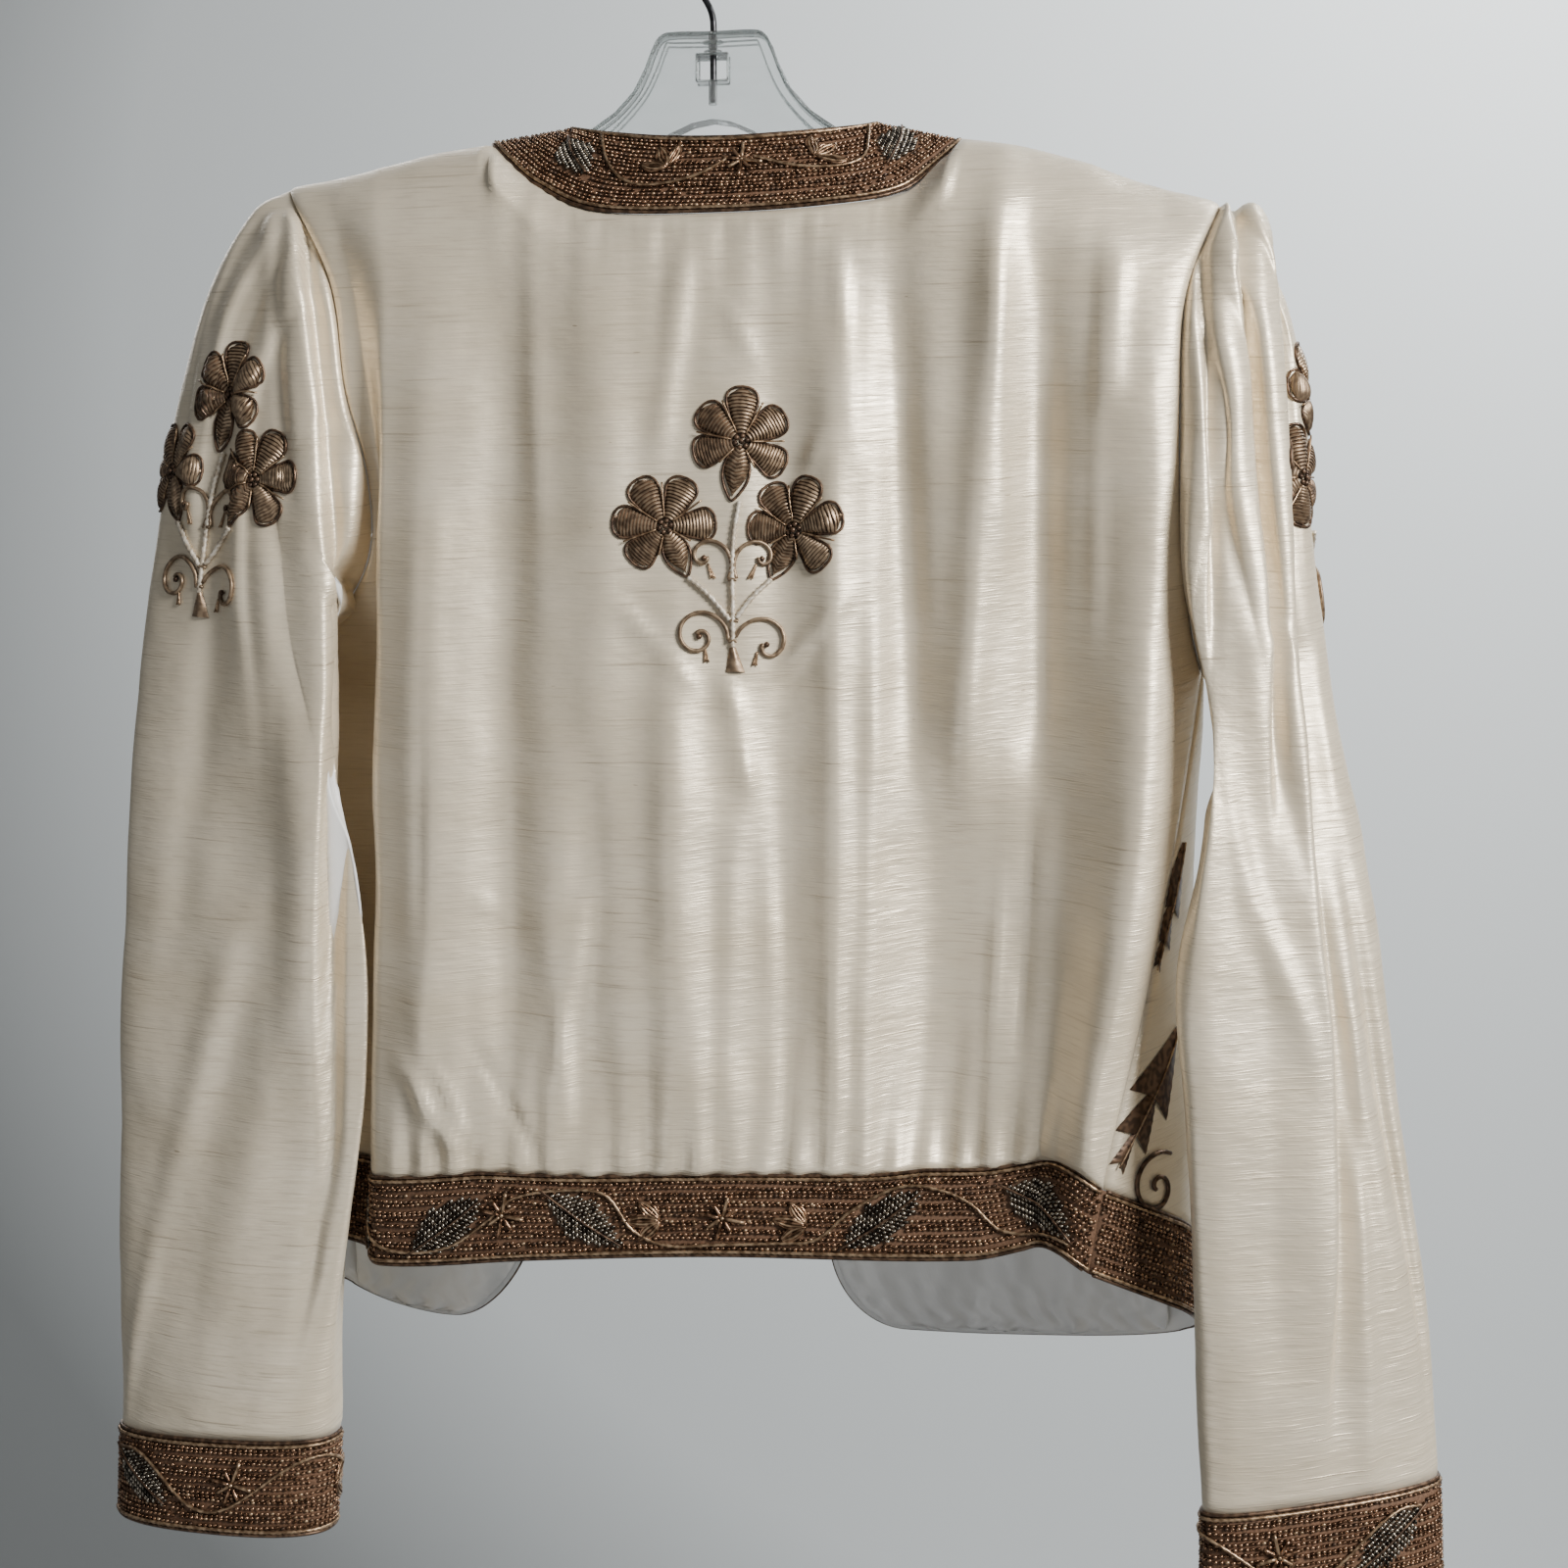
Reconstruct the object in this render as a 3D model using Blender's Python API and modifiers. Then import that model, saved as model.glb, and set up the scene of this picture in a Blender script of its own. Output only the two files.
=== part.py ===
"""An evening jacket on a hanger, modelled as the pieces a maker would cut and sew.

Every size below is in millimetres. The origin is the inner top of the hook, +Z is up,
and the jacket's back faces -Y. "left" and "right" are the wearer's own sides: left is -X.
"""
import math

import bmesh
import bpy

MM = 0.001

# Walls and seams
CLOTH_WALL = 1.1
SLEEVE_WALL = 1.0
BAND_WALL = 2.0
LINING_WALL = 1.0
SEAM_GAP = 0.5
BAND_GAP = 0.6
NECK_GAP = 2.4
NECK_DROP = 1.1
BAND_SHOULDER_GAP = 1.4
SHOULDER_GAP = 0.8
BAND_WIDTH = 36.0

# How the cloth rolls over the hanger's arms, as the depth of the round below the shoulder line
ROLL_HEIGHT = 45.0
NECK_ROLL = 18.0

# Fractions of the way down a panel, from its top edge to its hem
UNDERARM = 0.45
BAND_TOP = 0.922
ROWS = (0.0, 0.003, 0.012, 0.03, 0.06, 0.10, 0.16, 0.23, 0.30, 0.36, 0.41, 0.433, UNDERARM,
        0.50, 0.59, 0.68, 0.77, 0.85, BAND_TOP)
LINING_ROWS = (0.72, 0.80, 0.87, BAND_TOP, 0.945, 0.965, 0.982, 0.994, 1.0)

# Shoulder line: x, z
SHOULDER = ((-194.0, -125.0), (-150.0, -118.0), (-125.0, -112.0), (-101.0, -108.0), (-63.0, -103.0),
            (73.0, -106.0), (112.0, -115.0), (140.0, -119.0), (161.0, -125.0), (190.0, -136.0),
            (222.0, -147.0))

# Back neck band: place along it, its free edge x y z, its sewn edge x y z
NECK = ((0.00, -63.0, 0.0, -103.0, -101.0, 0.0, -108.0),
        (0.03, -62.0, -4.0, -103.3, -99.8, -5.0, -109.0),
        (0.10, -55.0, -10.0, -106.0, -90.0, -18.0, -120.0),
        (0.22, -42.0, -17.0, -110.0, -73.0, -31.0, -136.0),
        (0.36, -18.0, -25.0, -115.0, -44.0, -40.0, -150.5),
        (0.50, 10.0, -28.0, -117.0, 10.0, -43.0, -153.5),
        (0.64, 32.0, -25.0, -115.5, 56.0, -40.0, -151.0),
        (0.78, 52.0, -17.0, -112.0, 86.0, -31.0, -144.0),
        (0.90, 66.0, -9.0, -108.5, 102.0, -17.0, -128.0),
        (0.97, 72.0, -4.0, -106.3, 111.0, -5.0, -116.2),
        (1.00, 73.0, 0.0, -106.0, 112.0, 0.0, -115.0))

# Hem of each panel: place across it, z
BACK_HEM = ((0.0, -600.0), (0.19, -603.0), (0.35, -598.0), (0.54, -595.0), (0.80, -595.0), (0.90, -588.0),
            (1.0, -598.0))
FRONT_HEM = {"left": ((0.0, -600.0), (0.10, -616.0), (0.22, -634.0), (0.6, -648.0), (1.0, -646.0)),
             "right": ((0.0, -598.0), (0.10, -622.0), (0.22, -640.0), (0.6, -649.0), (1.0, -647.0))}

# Armhole seams: down, back x, back y, front x, front y
ARMHOLE = {"left": ((0.00, -194.0, -30.0, -194.0, 26.0),
                    (0.10, -167.0, -31.0, -170.0, 30.0),
                    (0.21, -158.0, -34.0, -162.0, 31.0),
                    (0.29, -149.0, -31.0, -162.0, 27.0),
                    (0.36, -151.0, -24.0, -172.0, 19.0),
                    (0.41, -170.0, -10.0, -190.0, 9.0),
                    (UNDERARM, -199.0, 1.0, -199.0, 1.0)),
           "right": ((0.00, 222.0, -28.0, 222.0, 24.0),
                     (0.10, 205.0, -34.0, 208.0, 28.0),
                     (0.21, 202.0, -38.0, 204.0, 28.0),
                     (0.33, 203.0, -35.0, 207.0, 16.0),
                     (0.41, 208.0, -24.0, 211.0, -6.0),
                     (UNDERARM, 213.0, -14.0, 213.0, -14.0))}

# Side seams: down, x, y
SIDE_SEAM = {"left": ((UNDERARM, -199.0, 1.0), (0.60, -200.0, 2.0), (0.75, -192.0, 1.0),
                      (0.90, -181.0, -2.0), (1.00, -177.0, -4.0)),
             "right": ((UNDERARM, 213.0, -14.0), (0.60, 201.0, -38.0), (0.75, 188.0, -45.0),
                       (0.90, 172.0, -50.0), (1.00, 164.0, -49.0))}

# The back between its seams, one row for each section down it:
# down, corner x y (the recess beside the left roll), roll x y, middle x y, valley x y, lip x y
BACK_STATIONS = (0.10, 0.19, 0.54, 0.86, 0.94)
BACK_SECTIONS = ((0.00, -172.0, -36.0, -150.0, -40.0, 12.0, -43.0, 168.0, -38.0, 198.0, -33.0),
                 (0.10, -155.0, -36.0, -137.0, -44.0, 14.0, -46.0, 158.0, -41.0, 189.0, -40.0),
                 (0.21, -147.0, -36.0, -136.0, -46.0, 15.0, -48.0, 155.0, -41.0, 190.0, -45.0),
                 (0.33, -142.0, -27.0, -136.0, -48.0, 16.0, -49.0, 153.0, -38.0, 190.0, -46.0),
                 (0.45, -146.0, -8.0, -136.5, -49.0, 16.0, -49.0, 152.0, -34.0, 190.0, -48.0),
                 (0.60, -148.0, -4.0, -136.5, -49.0, 16.0, -49.0, 152.0, -30.0, 184.0, -52.0),
                 (0.75, -148.0, -4.0, -136.5, -49.0, 16.0, -49.0, 149.0, -29.0, 175.0, -53.0),
                 (0.90, -152.0, -10.0, -137.0, -49.0, 14.0, -49.0, 143.0, -36.0, 162.0, -52.0),
                 (1.00, -154.0, -17.0, -136.0, -48.0, 12.0, -48.0, 138.0, -42.0, 154.0, -50.0))

# The fronts: down, fold x y (the body's side), turn x y, middle x y, opening edge x y
FRONT_STATIONS = (0.09, 0.20, 0.60, 1.00)
FRONT_SECTIONS = {
    "left": ((0.00, -180.0, 30.0, -162.0, 33.0, -112.0, 36.0, -63.0, 36.0),
             (0.10, -160.0, 33.0, -148.0, 36.0, -102.0, 39.0, -57.0, 38.0),
             (0.21, -154.0, 34.0, -143.0, 37.0, -96.0, 41.0, -49.0, 40.0),
             (0.33, -166.0, 28.0, -152.0, 35.0, -100.0, 42.0, -48.0, 42.0),
             (0.45, -206.0, 6.0, -189.0, 28.0, -122.0, 42.0, -52.0, 43.0),
             (0.52, -209.0, 11.0, -195.0, 32.0, -126.0, 43.0, -57.0, 43.0),
             (0.60, -212.0, 13.0, -197.0, 33.0, -130.0, 43.0, -62.0, 43.0),
             (0.75, -206.0, 14.0, -191.0, 35.0, -134.0, 44.0, -76.0, 43.0),
             (0.90, -198.0, 14.0, -184.0, 37.0, -138.0, 45.0, -91.0, 44.0),
             (1.00, -194.0, 14.0, -180.0, 38.0, -140.0, 45.0, -99.0, 44.0)),
    "right": ((0.00, 206.0, 28.0, 188.0, 32.0, 130.0, 36.0, 73.0, 36.0),
              (0.10, 198.0, 31.0, 184.0, 35.0, 124.0, 39.0, 66.0, 38.0),
              (0.21, 195.0, 32.0, 183.0, 36.0, 120.0, 41.0, 56.0, 40.0),
              (0.33, 204.0, 26.0, 192.0, 36.0, 122.0, 42.0, 52.0, 42.0),
              (0.45, 213.0, 2.0, 202.0, 28.0, 126.0, 42.0, 50.0, 43.0),
              (0.60, 211.0, 2.0, 203.0, 30.0, 126.0, 43.0, 50.0, 43.0),
              (0.75, 208.0, -6.0, 204.0, 28.0, 127.0, 44.0, 49.0, 43.0),
              (0.90, 206.0, -14.0, 206.0, 26.0, 128.0, 45.0, 48.0, 44.0),
              (1.00, 206.0, -18.0, 208.0, 24.0, 128.0, 45.0, 47.0, 44.0))}

# Long soft folds of the back: top x z, bottom x z, half width, height (a valley is negative)
BACK_FOLDS = ((146.0, -150.0, 136.0, -400.0, 8.0, 3.4),
              (182.0, -175.0, 178.0, -240.0, 7.0, 2.4),
              (82.0, -215.0, 70.0, -330.0, 9.0, 2.6),
              (6.0, -165.0, -8.0, -240.0, 8.0, 2.0),
              (104.0, -190.0, 118.0, -400.0, 10.0, -3.6),
              (162.0, -220.0, 160.0, -400.0, 6.0, -2.4),
              (-56.0, -200.0, -50.0, -395.0, 11.0, -3.0),
              (-31.0, -420.0, -31.0, -530.0, 12.0, -2.6),
              (-100.0, -230.0, -92.0, -540.0, 16.0, 3.0),
              (-8.0, -380.0, 6.0, -550.0, 13.0, 3.0),
              (44.0, -350.0, 44.0, -550.0, 12.0, 2.4),
              (84.0, -330.0, 80.0, -550.0, 11.0, 3.0),
              (112.0, -400.0, 108.0, -550.0, 9.0, -2.6),
              (-120.0, -520.0, -96.0, -552.0, 6.0, 2.2))

# Gathers above the hem band, one height for each, left to right, and those under the neck band: x, height
HEM_GATHERS = (1.2, 1.8, 2.4, 1.4, 2.2, 1.6, 2.6, 1.8, 2.2, 2.8, 1.6, 2.2, 2.6, 1.4, 2.0, 2.4, 1.6,
               2.2, 1.8, 2.4, 1.4)
HEM_GATHER_SPAN = (0.19, 0.90)
HEM_GATHER_REACH = 34.0
NECK_GATHERS = ((-86.0, 1.2), (-72.0, 1.6), (-49.0, 2.0), (-21.0, 1.6), (5.0, 1.8), (20.0, 1.4), (36.0, 2.0),
                (50.0, 1.6))
NECK_GATHER_REACH = 30.0
NECK_GATHER_WIDTH = 4.5

# Columns across the back: beside the left seam, through the gathers, beside the right seam
BACK_COLUMNS = (7, 2 * len(HEM_GATHERS), 5)
FRONT_COLUMNS = 12

# Sleeves: along, outer edge x y z, inner edge x y z, back depth, front depth, back bow, front bow.
# A bow carries the middle of that side towards the body, as the armhole seam runs.
SLEEVE_SECTIONS = {
    "left": ((0.00, -195.0, 0.0, -125.0, -200.0, -1.0, -341.0, 35.0, 31.0, 40.0, 36.0),
             (0.05, -212.0, 0.0, -133.0, -212.0, -8.0, -350.0, 41.0, 31.0, 43.0, 14.0),
             (0.12, -231.0, -5.0, -172.0, -214.0, -13.0, -362.0, 38.0, 24.0, 40.0, 4.0),
             (0.22, -245.0, -10.0, -227.0, -209.0, -17.0, -376.0, 33.5, 16.0, 46.0, -8.0),
             (0.32, -253.0, -14.0, -285.0, -200.0, -19.0, -392.0, 30.0, 12.0, 50.0, -6.0),
             (0.42, -259.0, -18.0, -342.0, -190.0, -20.0, -415.0, 27.0, 9.0, 58.0, -2.0),
             (0.55, -264.0, -20.0, -420.0, -172.0, -23.0, -455.0, 23.0, 9.0, 60.0, 0.0),
             (0.70, -267.0, -20.0, -516.0, -162.0, -28.0, -525.0, 21.0, 10.0, 50.0, 0.0),
             (0.85, -267.0, -20.0, -602.0, -160.0, -31.0, -606.0, 21.0, 12.0, 30.0, 0.0),
             (1.00, -266.0, -20.0, -683.0, -161.0, -33.0, -680.0, 23.0, 14.0, 6.0, 0.0),
             (1.08, -266.0, -20.0, -721.0, -163.0, -33.0, -721.0, 24.0, 14.0, 0.0, 0.0)),
    "right": ((0.00, 223.0, 0.0, -147.0, 214.0, -16.0, -352.0, 34.0, 30.0, 18.0, 14.0),
              (0.05, 236.0, -2.0, -152.0, 219.0, -20.0, -358.0, 36.0, 33.0, 19.0, 6.0),
              (0.12, 250.0, -4.0, -190.0, 223.0, -26.0, -368.0, 33.0, 32.0, 25.0, -2.0),
              (0.22, 257.0, -6.0, -235.0, 223.0, -31.0, -384.0, 30.0, 28.0, 30.0, -8.0),
              (0.32, 259.0, -8.0, -285.0, 220.0, -36.0, -402.0, 29.0, 26.0, 22.0, -10.0),
              (0.42, 265.0, -12.0, -342.0, 214.0, -44.0, -425.0, 26.0, 22.0, 18.0, -9.0),
              (0.55, 279.0, -20.0, -425.0, 205.0, -51.0, -465.0, 20.0, 17.0, 16.0, -4.0),
              (0.70, 292.0, -24.0, -520.0, 203.0, -56.0, -530.0, 15.0, 15.0, 6.0, 0.0),
              (0.85, 302.0, -25.0, -606.0, 206.0, -58.0, -612.0, 14.0, 15.0, 0.0, 0.0),
              (1.00, 308.0, -25.0, -682.0, 209.0, -58.0, -690.0, 14.0, 16.0, 0.0, 0.0),
              (1.08, 309.0, -25.0, -721.0, 209.0, -58.0, -729.0, 14.0, 16.0, 0.0, 0.0))}
SLEEVE_END = 1.0
CUFF_END = 1.08
SLEEVE_ROWS = (0.0, 0.02, 0.05, 0.08, 0.12, 0.17, 0.22, 0.27, 0.32, 0.37, 0.42, 0.49, 0.56, 0.63, 0.70,
               0.77, 0.84, 0.92, SLEEVE_END)
SLEEVE_COLUMNS = 24
SEAM_BLEND = 0.12
# How much more the back's bow reaches below the sleeve's middle, and the stretch along it that this ends over
BOW_SKEW = {"left": (1.7, 0.15, 0.50), "right": (0.8, 0.05, 0.25)}
SLEEVE_SEAM_GAP = 0.9
UNDERARM_STEP = 2.4
FLATNESS = 0.82

# Pleats at the sleeve head and creases down the sleeve: place round it (0 at the shoulder, 0.25 at the
# back), half width, height, and the stretch along the sleeve that it fades over
SLEEVE_PLEATS = {"left": ((0.055, 0.018, 3.2, 0.0, 0.20), (0.105, 0.016, 3.0, 0.0, 0.34),
                          (0.165, 0.018, 2.2, 0.0, 0.42), (0.200, 0.034, 4.6, 0.16, 1.00)),
                 "right": ((0.055, 0.018, 3.2, 0.0, 0.20), (0.105, 0.016, 3.0, 0.0, 0.34),
                           (0.165, 0.018, 2.2, 0.0, 0.42), (0.130, 0.026, 4.0, 0.36, 0.98))}

# Hanger: half outline of the head and an arm, as x with the top edge's z and the bottom edge's z
HANGER_TOP = ((0.0, -62.0), (20.0, -62.0), (24.5, -64.5), (27.5, -70.0), (30.5, -78.0), (35.5, -88.0),
              (44.0, -97.5), (55.0, -105.1), (64.0, -110.2), (90.0, -114.0), (112.0, -119.5), (140.0, -123.5),
              (161.0, -128.5), (174.0, -133.0), (180.0, -139.0))
HANGER_BOTTOM = ((178.0, -147.0), (170.0, -148.0), (140.0, -138.0), (100.0, -130.0), (60.0, -125.0),
                 (36.0, -118.0), (19.0, -107.0), (9.0, -102.5), (0.0, -101.0))
HANGER_THICKNESS = 8.0
HANGER_TILT = 0.028
HANGER_HEAD = 44.0
WINDOW = (14.0, 12.0, -78.0)
BORE_RADIUS = 1.95
BORE_TOP = -58.0
BORE_BOTTOM = -94.0

# Hook
WIRE_RADIUS = 1.55
HOOK_RADIUS = 21.0
HOOK_TIP_ANGLE = -32.0
HOOK_NECK_ANGLE = 222.0
HOOK_STEM = ((-6.5, -42.5), (-3.0, -47.5), (-0.8, -52.5), (0.0, -58.0), (0.0, -75.0), (0.0, -92.5))

COLOURS = {"silk": (0.80, 0.74, 0.64), "band": (0.22, 0.12, 0.07), "satin": (0.82, 0.83, 0.84),
           "plastic": (0.80, 0.83, 0.83), "steel": (0.12, 0.12, 0.12)}


def between(rows, at):
    """The other columns of a table at a place in its first column, on a smooth curve through the rows."""
    last = len(rows) - 1
    at = min(max(at, rows[0][0]), rows[last][0])
    i = 0
    while i < last - 1 and at > rows[i + 1][0]:
        i += 1
    before, a, b, after = rows[max(i - 1, 0)], rows[i], rows[i + 1], rows[min(i + 2, last)]
    span = b[0] - a[0]
    t = (at - a[0]) / span
    values = []
    for k in range(1, len(a)):
        slope_a = (b[k] - before[k]) / (b[0] - before[0]) * span
        slope_b = (after[k] - a[k]) / (after[0] - a[0]) * span
        rise = b[k] - a[k]
        values.append(a[k] + t * slope_a + t * t * (3 * rise - 2 * slope_a - slope_b)
                      + t * t * t * (slope_a + slope_b - 2 * rise))
    return values


def mix(a, b, t):
    """The value a fraction t of the way from a to b."""
    return a + (b - a) * t


def bump(distance, half_width):
    """A smooth hill: 1 at its middle and nearly 0 at twice its half width."""
    return math.exp(-(distance / half_width) ** 2)


def fade(at, start, end):
    """Rises smoothly from 0 to 1 between start and end."""
    t = min(max((at - start) / (end - start), 0.0), 1.0)
    return t * t * (3 - 2 * t)


def rolled(y, top_y, drop, start=0.0):
    """The depth of a panel that rolls over the shoulder: top_y at its top edge, y below the roll.

    A start above 0 begins part way down the round, as under the neck band."""
    def rounded(height):
        """The round's depth at a height below its top, as a share of the whole."""
        return math.sqrt(max(1.0 - (1.0 - min(height / ROLL_HEIGHT, 1.0)) ** 2, 0.0))

    share = (rounded(drop + start) - rounded(start)) / (1.0 - rounded(start))
    return mix(top_y, y, share)


def seam(side, down, face):
    """x and y of a panel's outer edge: the armhole above the underarm, the side seam below it."""
    if down < UNDERARM:
        back_x, back_y, front_x, front_y = between(ARMHOLE[side], down)
        return (back_x, back_y) if face == "back" else (front_x, front_y)
    return tuple(between(SIDE_SEAM[side], down))


def across(stations, at):
    """x and y on a smooth curve through (place, x, y) stations, knotted by the lengths between them."""
    knots = [0.0]
    for a, b in zip(stations, stations[1:]):
        knots.append(knots[-1] + math.hypot(b[1] - a[1], b[2] - a[2]))
    i = 0
    while i < len(stations) - 2 and at > stations[i + 1][0]:
        i += 1
    share = (at - stations[i][0]) / (stations[i + 1][0] - stations[i][0])
    rows = [(knot, x, y) for knot, (_place, x, y) in zip(knots, stations)]
    return between(rows, mix(knots[i], knots[i + 1], share))


NECK_EDGE = [between(NECK, k / 88)[3:6] for k in range(89)]


def back_top(x):
    """y and z of the back's top edge: the shoulder line, or the neck band's sewn edge."""
    if NECK[0][4] < x < NECK[-1][4]:
        k = 1
        while NECK_EDGE[k][0] < x:
            k += 1
        share = (x - NECK_EDGE[k - 1][0]) / (NECK_EDGE[k][0] - NECK_EDGE[k - 1][0])
        return mix(NECK_EDGE[k - 1][1], NECK_EDGE[k][1], share), mix(NECK_EDGE[k - 1][2], NECK_EDGE[k][2],
                                                                     share) - NECK_DROP
    return -SHOULDER_GAP / 2, between(SHOULDER, x)[0]


def back_relief(x, z, u, drop, above_hem):
    """How far the back's folds and gathers stand out of it."""
    height = 0.0
    for top_x, top_z, low_x, low_z, half_width, rise in BACK_FOLDS:
        t = (z - top_z) / (low_z - top_z)
        line = mix(top_x, low_x, min(max(t, 0.0), 1.0))
        height += rise * bump(x - line, half_width) * fade(t, -0.25, 0.25) * (1 - fade(t, 0.8, 1.15))
    start, end = HEM_GATHER_SPAN
    place = (u - start) / (end - start) * len(HEM_GATHERS)
    if 0 < place < len(HEM_GATHERS):
        wave = 0.5 - 0.5 * math.cos(2 * math.pi * place)
        height += HEM_GATHERS[int(place)] * wave * math.exp(-above_hem / HEM_GATHER_REACH)
    for gather_x, rise in NECK_GATHERS:
        height += rise * bump(x - gather_x, NECK_GATHER_WIDTH) * math.exp(-drop / NECK_GATHER_REACH)
    return height * fade(drop, 0.0, 10.0)


def back_point(u, down, relief=True):
    """A point of the back, u across it from the left seam to the right one."""
    section = between(BACK_SECTIONS, down)
    stations = [(-0.08, *between(FRONT_SECTIONS["left"], down)[:2]), (0.0, *seam("left", down, "back"))]
    for k, place in enumerate(BACK_STATIONS):
        stations.append((place, section[2 * k], section[2 * k + 1]))
    stations.append((1.0, *seam("right", down, "back")))
    stations.append((1.06, *between(FRONT_SECTIONS["right"], down)[:2]))
    x, y = across(stations, u)
    top_stations = [(0.0, ARMHOLE["left"][0][1])]
    for k, place in enumerate(BACK_STATIONS):
        top_stations.append((place, BACK_SECTIONS[0][1 + 2 * k]))
    top_stations.append((1.0, ARMHOLE["right"][0][1]))
    top_y, top_z = back_top(between(top_stations, u)[0])
    z = mix(top_z, between(BACK_HEM, u)[0], down)
    drop = top_z - z
    y = rolled(y, top_y, drop, NECK_ROLL * fade(-top_y, 0.0, 8.0))
    if relief:
        above_hem = (BAND_TOP - down) * (top_z - between(BACK_HEM, u)[0])
        y -= back_relief(x, z, u, drop, max(above_hem, 0.0))
    return x, y, z


def front_point(side, w, down):
    """A point of a front, w across it from the side seam to the opening edge."""
    section = between(FRONT_SECTIONS[side], down)
    near = between(BACK_SECTIONS, down)
    beyond = near[0:2] if side == "left" else near[8:10]
    stations = [(-0.08, *beyond), (0.0, *seam(side, down, "front"))]
    for k, place in enumerate(FRONT_STATIONS):
        stations.append((place, section[2 * k], section[2 * k + 1]))
    x, y = across(stations, w)
    first = FRONT_SECTIONS[side][0]
    top_stations = [(0.0, ARMHOLE[side][0][3])]
    for k, place in enumerate(FRONT_STATIONS):
        top_stations.append((place, first[1 + 2 * k]))
    top_x = between(top_stations, w)[0]
    top_z = between(SHOULDER, top_x)[0]
    z = mix(top_z, between(FRONT_HEM[side], w)[0], down)
    return x, rolled(y, SHOULDER_GAP / 2, top_z - z), z


def band_place(side, down):
    """Where, across a front, the band's sewn edge runs beside the opening."""
    section = between(FRONT_SECTIONS[side], down)
    flat = abs(section[6] - section[4])
    return 1.0 - (FRONT_STATIONS[3] - FRONT_STATIONS[2]) * BAND_WIDTH / flat


def front_band_route(side):
    """The front band's stations: the seam place (w, down) and the free edge's place beside it."""
    route = []
    for down in ROWS[:-1]:
        route.append(((band_place(side, down), down), (1.0, down)))
    corner = (band_place(side, BAND_TOP), BAND_TOP)
    for k in range(7):
        turn = math.radians(90.0 * k / 6)
        free = (mix(corner[0], 1.0, math.cos(turn)), mix(corner[1], 1.0, math.sin(turn)))
        route.append((corner, free))
    for k in range(1, FRONT_COLUMNS + 1):
        w = corner[0] * (1 - k / FRONT_COLUMNS)
        route.append(((w, BAND_TOP), (w, 1.0)))
    return route


def sleeve_loop(side, q):
    """The sleeve's sewn edge: the armhole's two edges, moved out by the seam's gap."""
    turn = 2 * math.pi * q
    down = UNDERARM * (1 - math.cos(turn)) / 2
    if q <= 0.5 or q == 1.0:
        x, y, z = back_point(0.0 if side == "left" else 1.0, down, relief=False)
    else:
        x, y, z = front_point(side, 0.0, down)
    out = -1.0 if side == "left" else 1.0
    low = ((1 - math.cos(turn)) / 2) ** 3
    if q in (0.0, 1.0):
        y = 0.0
    return x + out * SLEEVE_SEAM_GAP, y - UNDERARM_STEP * low, z - 0.4 * low


def sleeve_ring(side, q, along):
    """A point of the sleeve by its section table alone."""
    out_x, out_y, out_z, in_x, in_y, in_z, back, front, back_bow, front_bow = between(
        SLEEVE_SECTIONS[side], along)
    turn = 2 * math.pi * q
    flat = fade(along, 0.45, 0.75)
    c = math.copysign(abs(math.cos(turn)) ** mix(1.0, FLATNESS, flat), math.cos(turn))
    s = math.copysign(abs(math.sin(turn)) ** mix(1.0, FLATNESS, flat), math.sin(turn))
    skew, skew_start, skew_end = BOW_SKEW[side]
    back_bow *= 1 + skew * max(-c, 0.0) * (1 - fade(along, skew_start, skew_end))
    depth, bow = (back, back_bow) if s > 0 else (front, front_bow)
    inward = 1.0 if side == "left" else -1.0
    for place, half_width, rise, start, end in SLEEVE_PLEATS[side]:
        away = min(abs(q - place), 1 - abs(q - place))
        reach = 1.0 if start == 0.0 else fade(along, start, start + 0.12)
        depth += rise * bump(away, half_width) * reach * (1 - fade(along, 0.5 * (start + end), end + 0.01))
    x = mix(in_x, out_x, (1 + c) / 2) + inward * bow * s * s
    y = mix(in_y, out_y, (1 + c) / 2) - depth * s
    z = mix(in_z, out_z, (1 + c) / 2)
    return x, y, z


def sleeve_point(side, q, along):
    """A point of the sleeve: q round it from the shoulder through the back, along it from its head."""
    x, y, z = sleeve_ring(side, q, along)
    if along < SEAM_BLEND:
        share = (1 - along / SEAM_BLEND) ** 2
        edge = sleeve_loop(side, q)
        ring = sleeve_ring(side, q, 0.0)
        x += (edge[0] - ring[0]) * share
        y += (edge[1] - ring[1]) * share
        z += (edge[2] - ring[2]) * share
    return x, y, z


def material(name, slot, roughness, metallic=0.0, see_through=0.0):
    """A plain Principled material for one object."""
    made = bpy.data.materials.new(name)
    made.use_nodes = True
    shader = made.node_tree.nodes["Principled BSDF"]
    shader.inputs["Base Color"].default_value = (*COLOURS[slot], 1.0)
    shader.inputs["Roughness"].default_value = roughness
    shader.inputs["Metallic"].default_value = metallic
    shader.inputs["Transmission Weight"].default_value = see_through
    return made


def place_object(name, mesh, finish, where):
    """Links a mesh as the named object, with its own material."""
    made = bpy.data.objects.new(name, mesh)
    made.data.materials.append(finish)
    where.objects.link(made)
    return made


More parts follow.
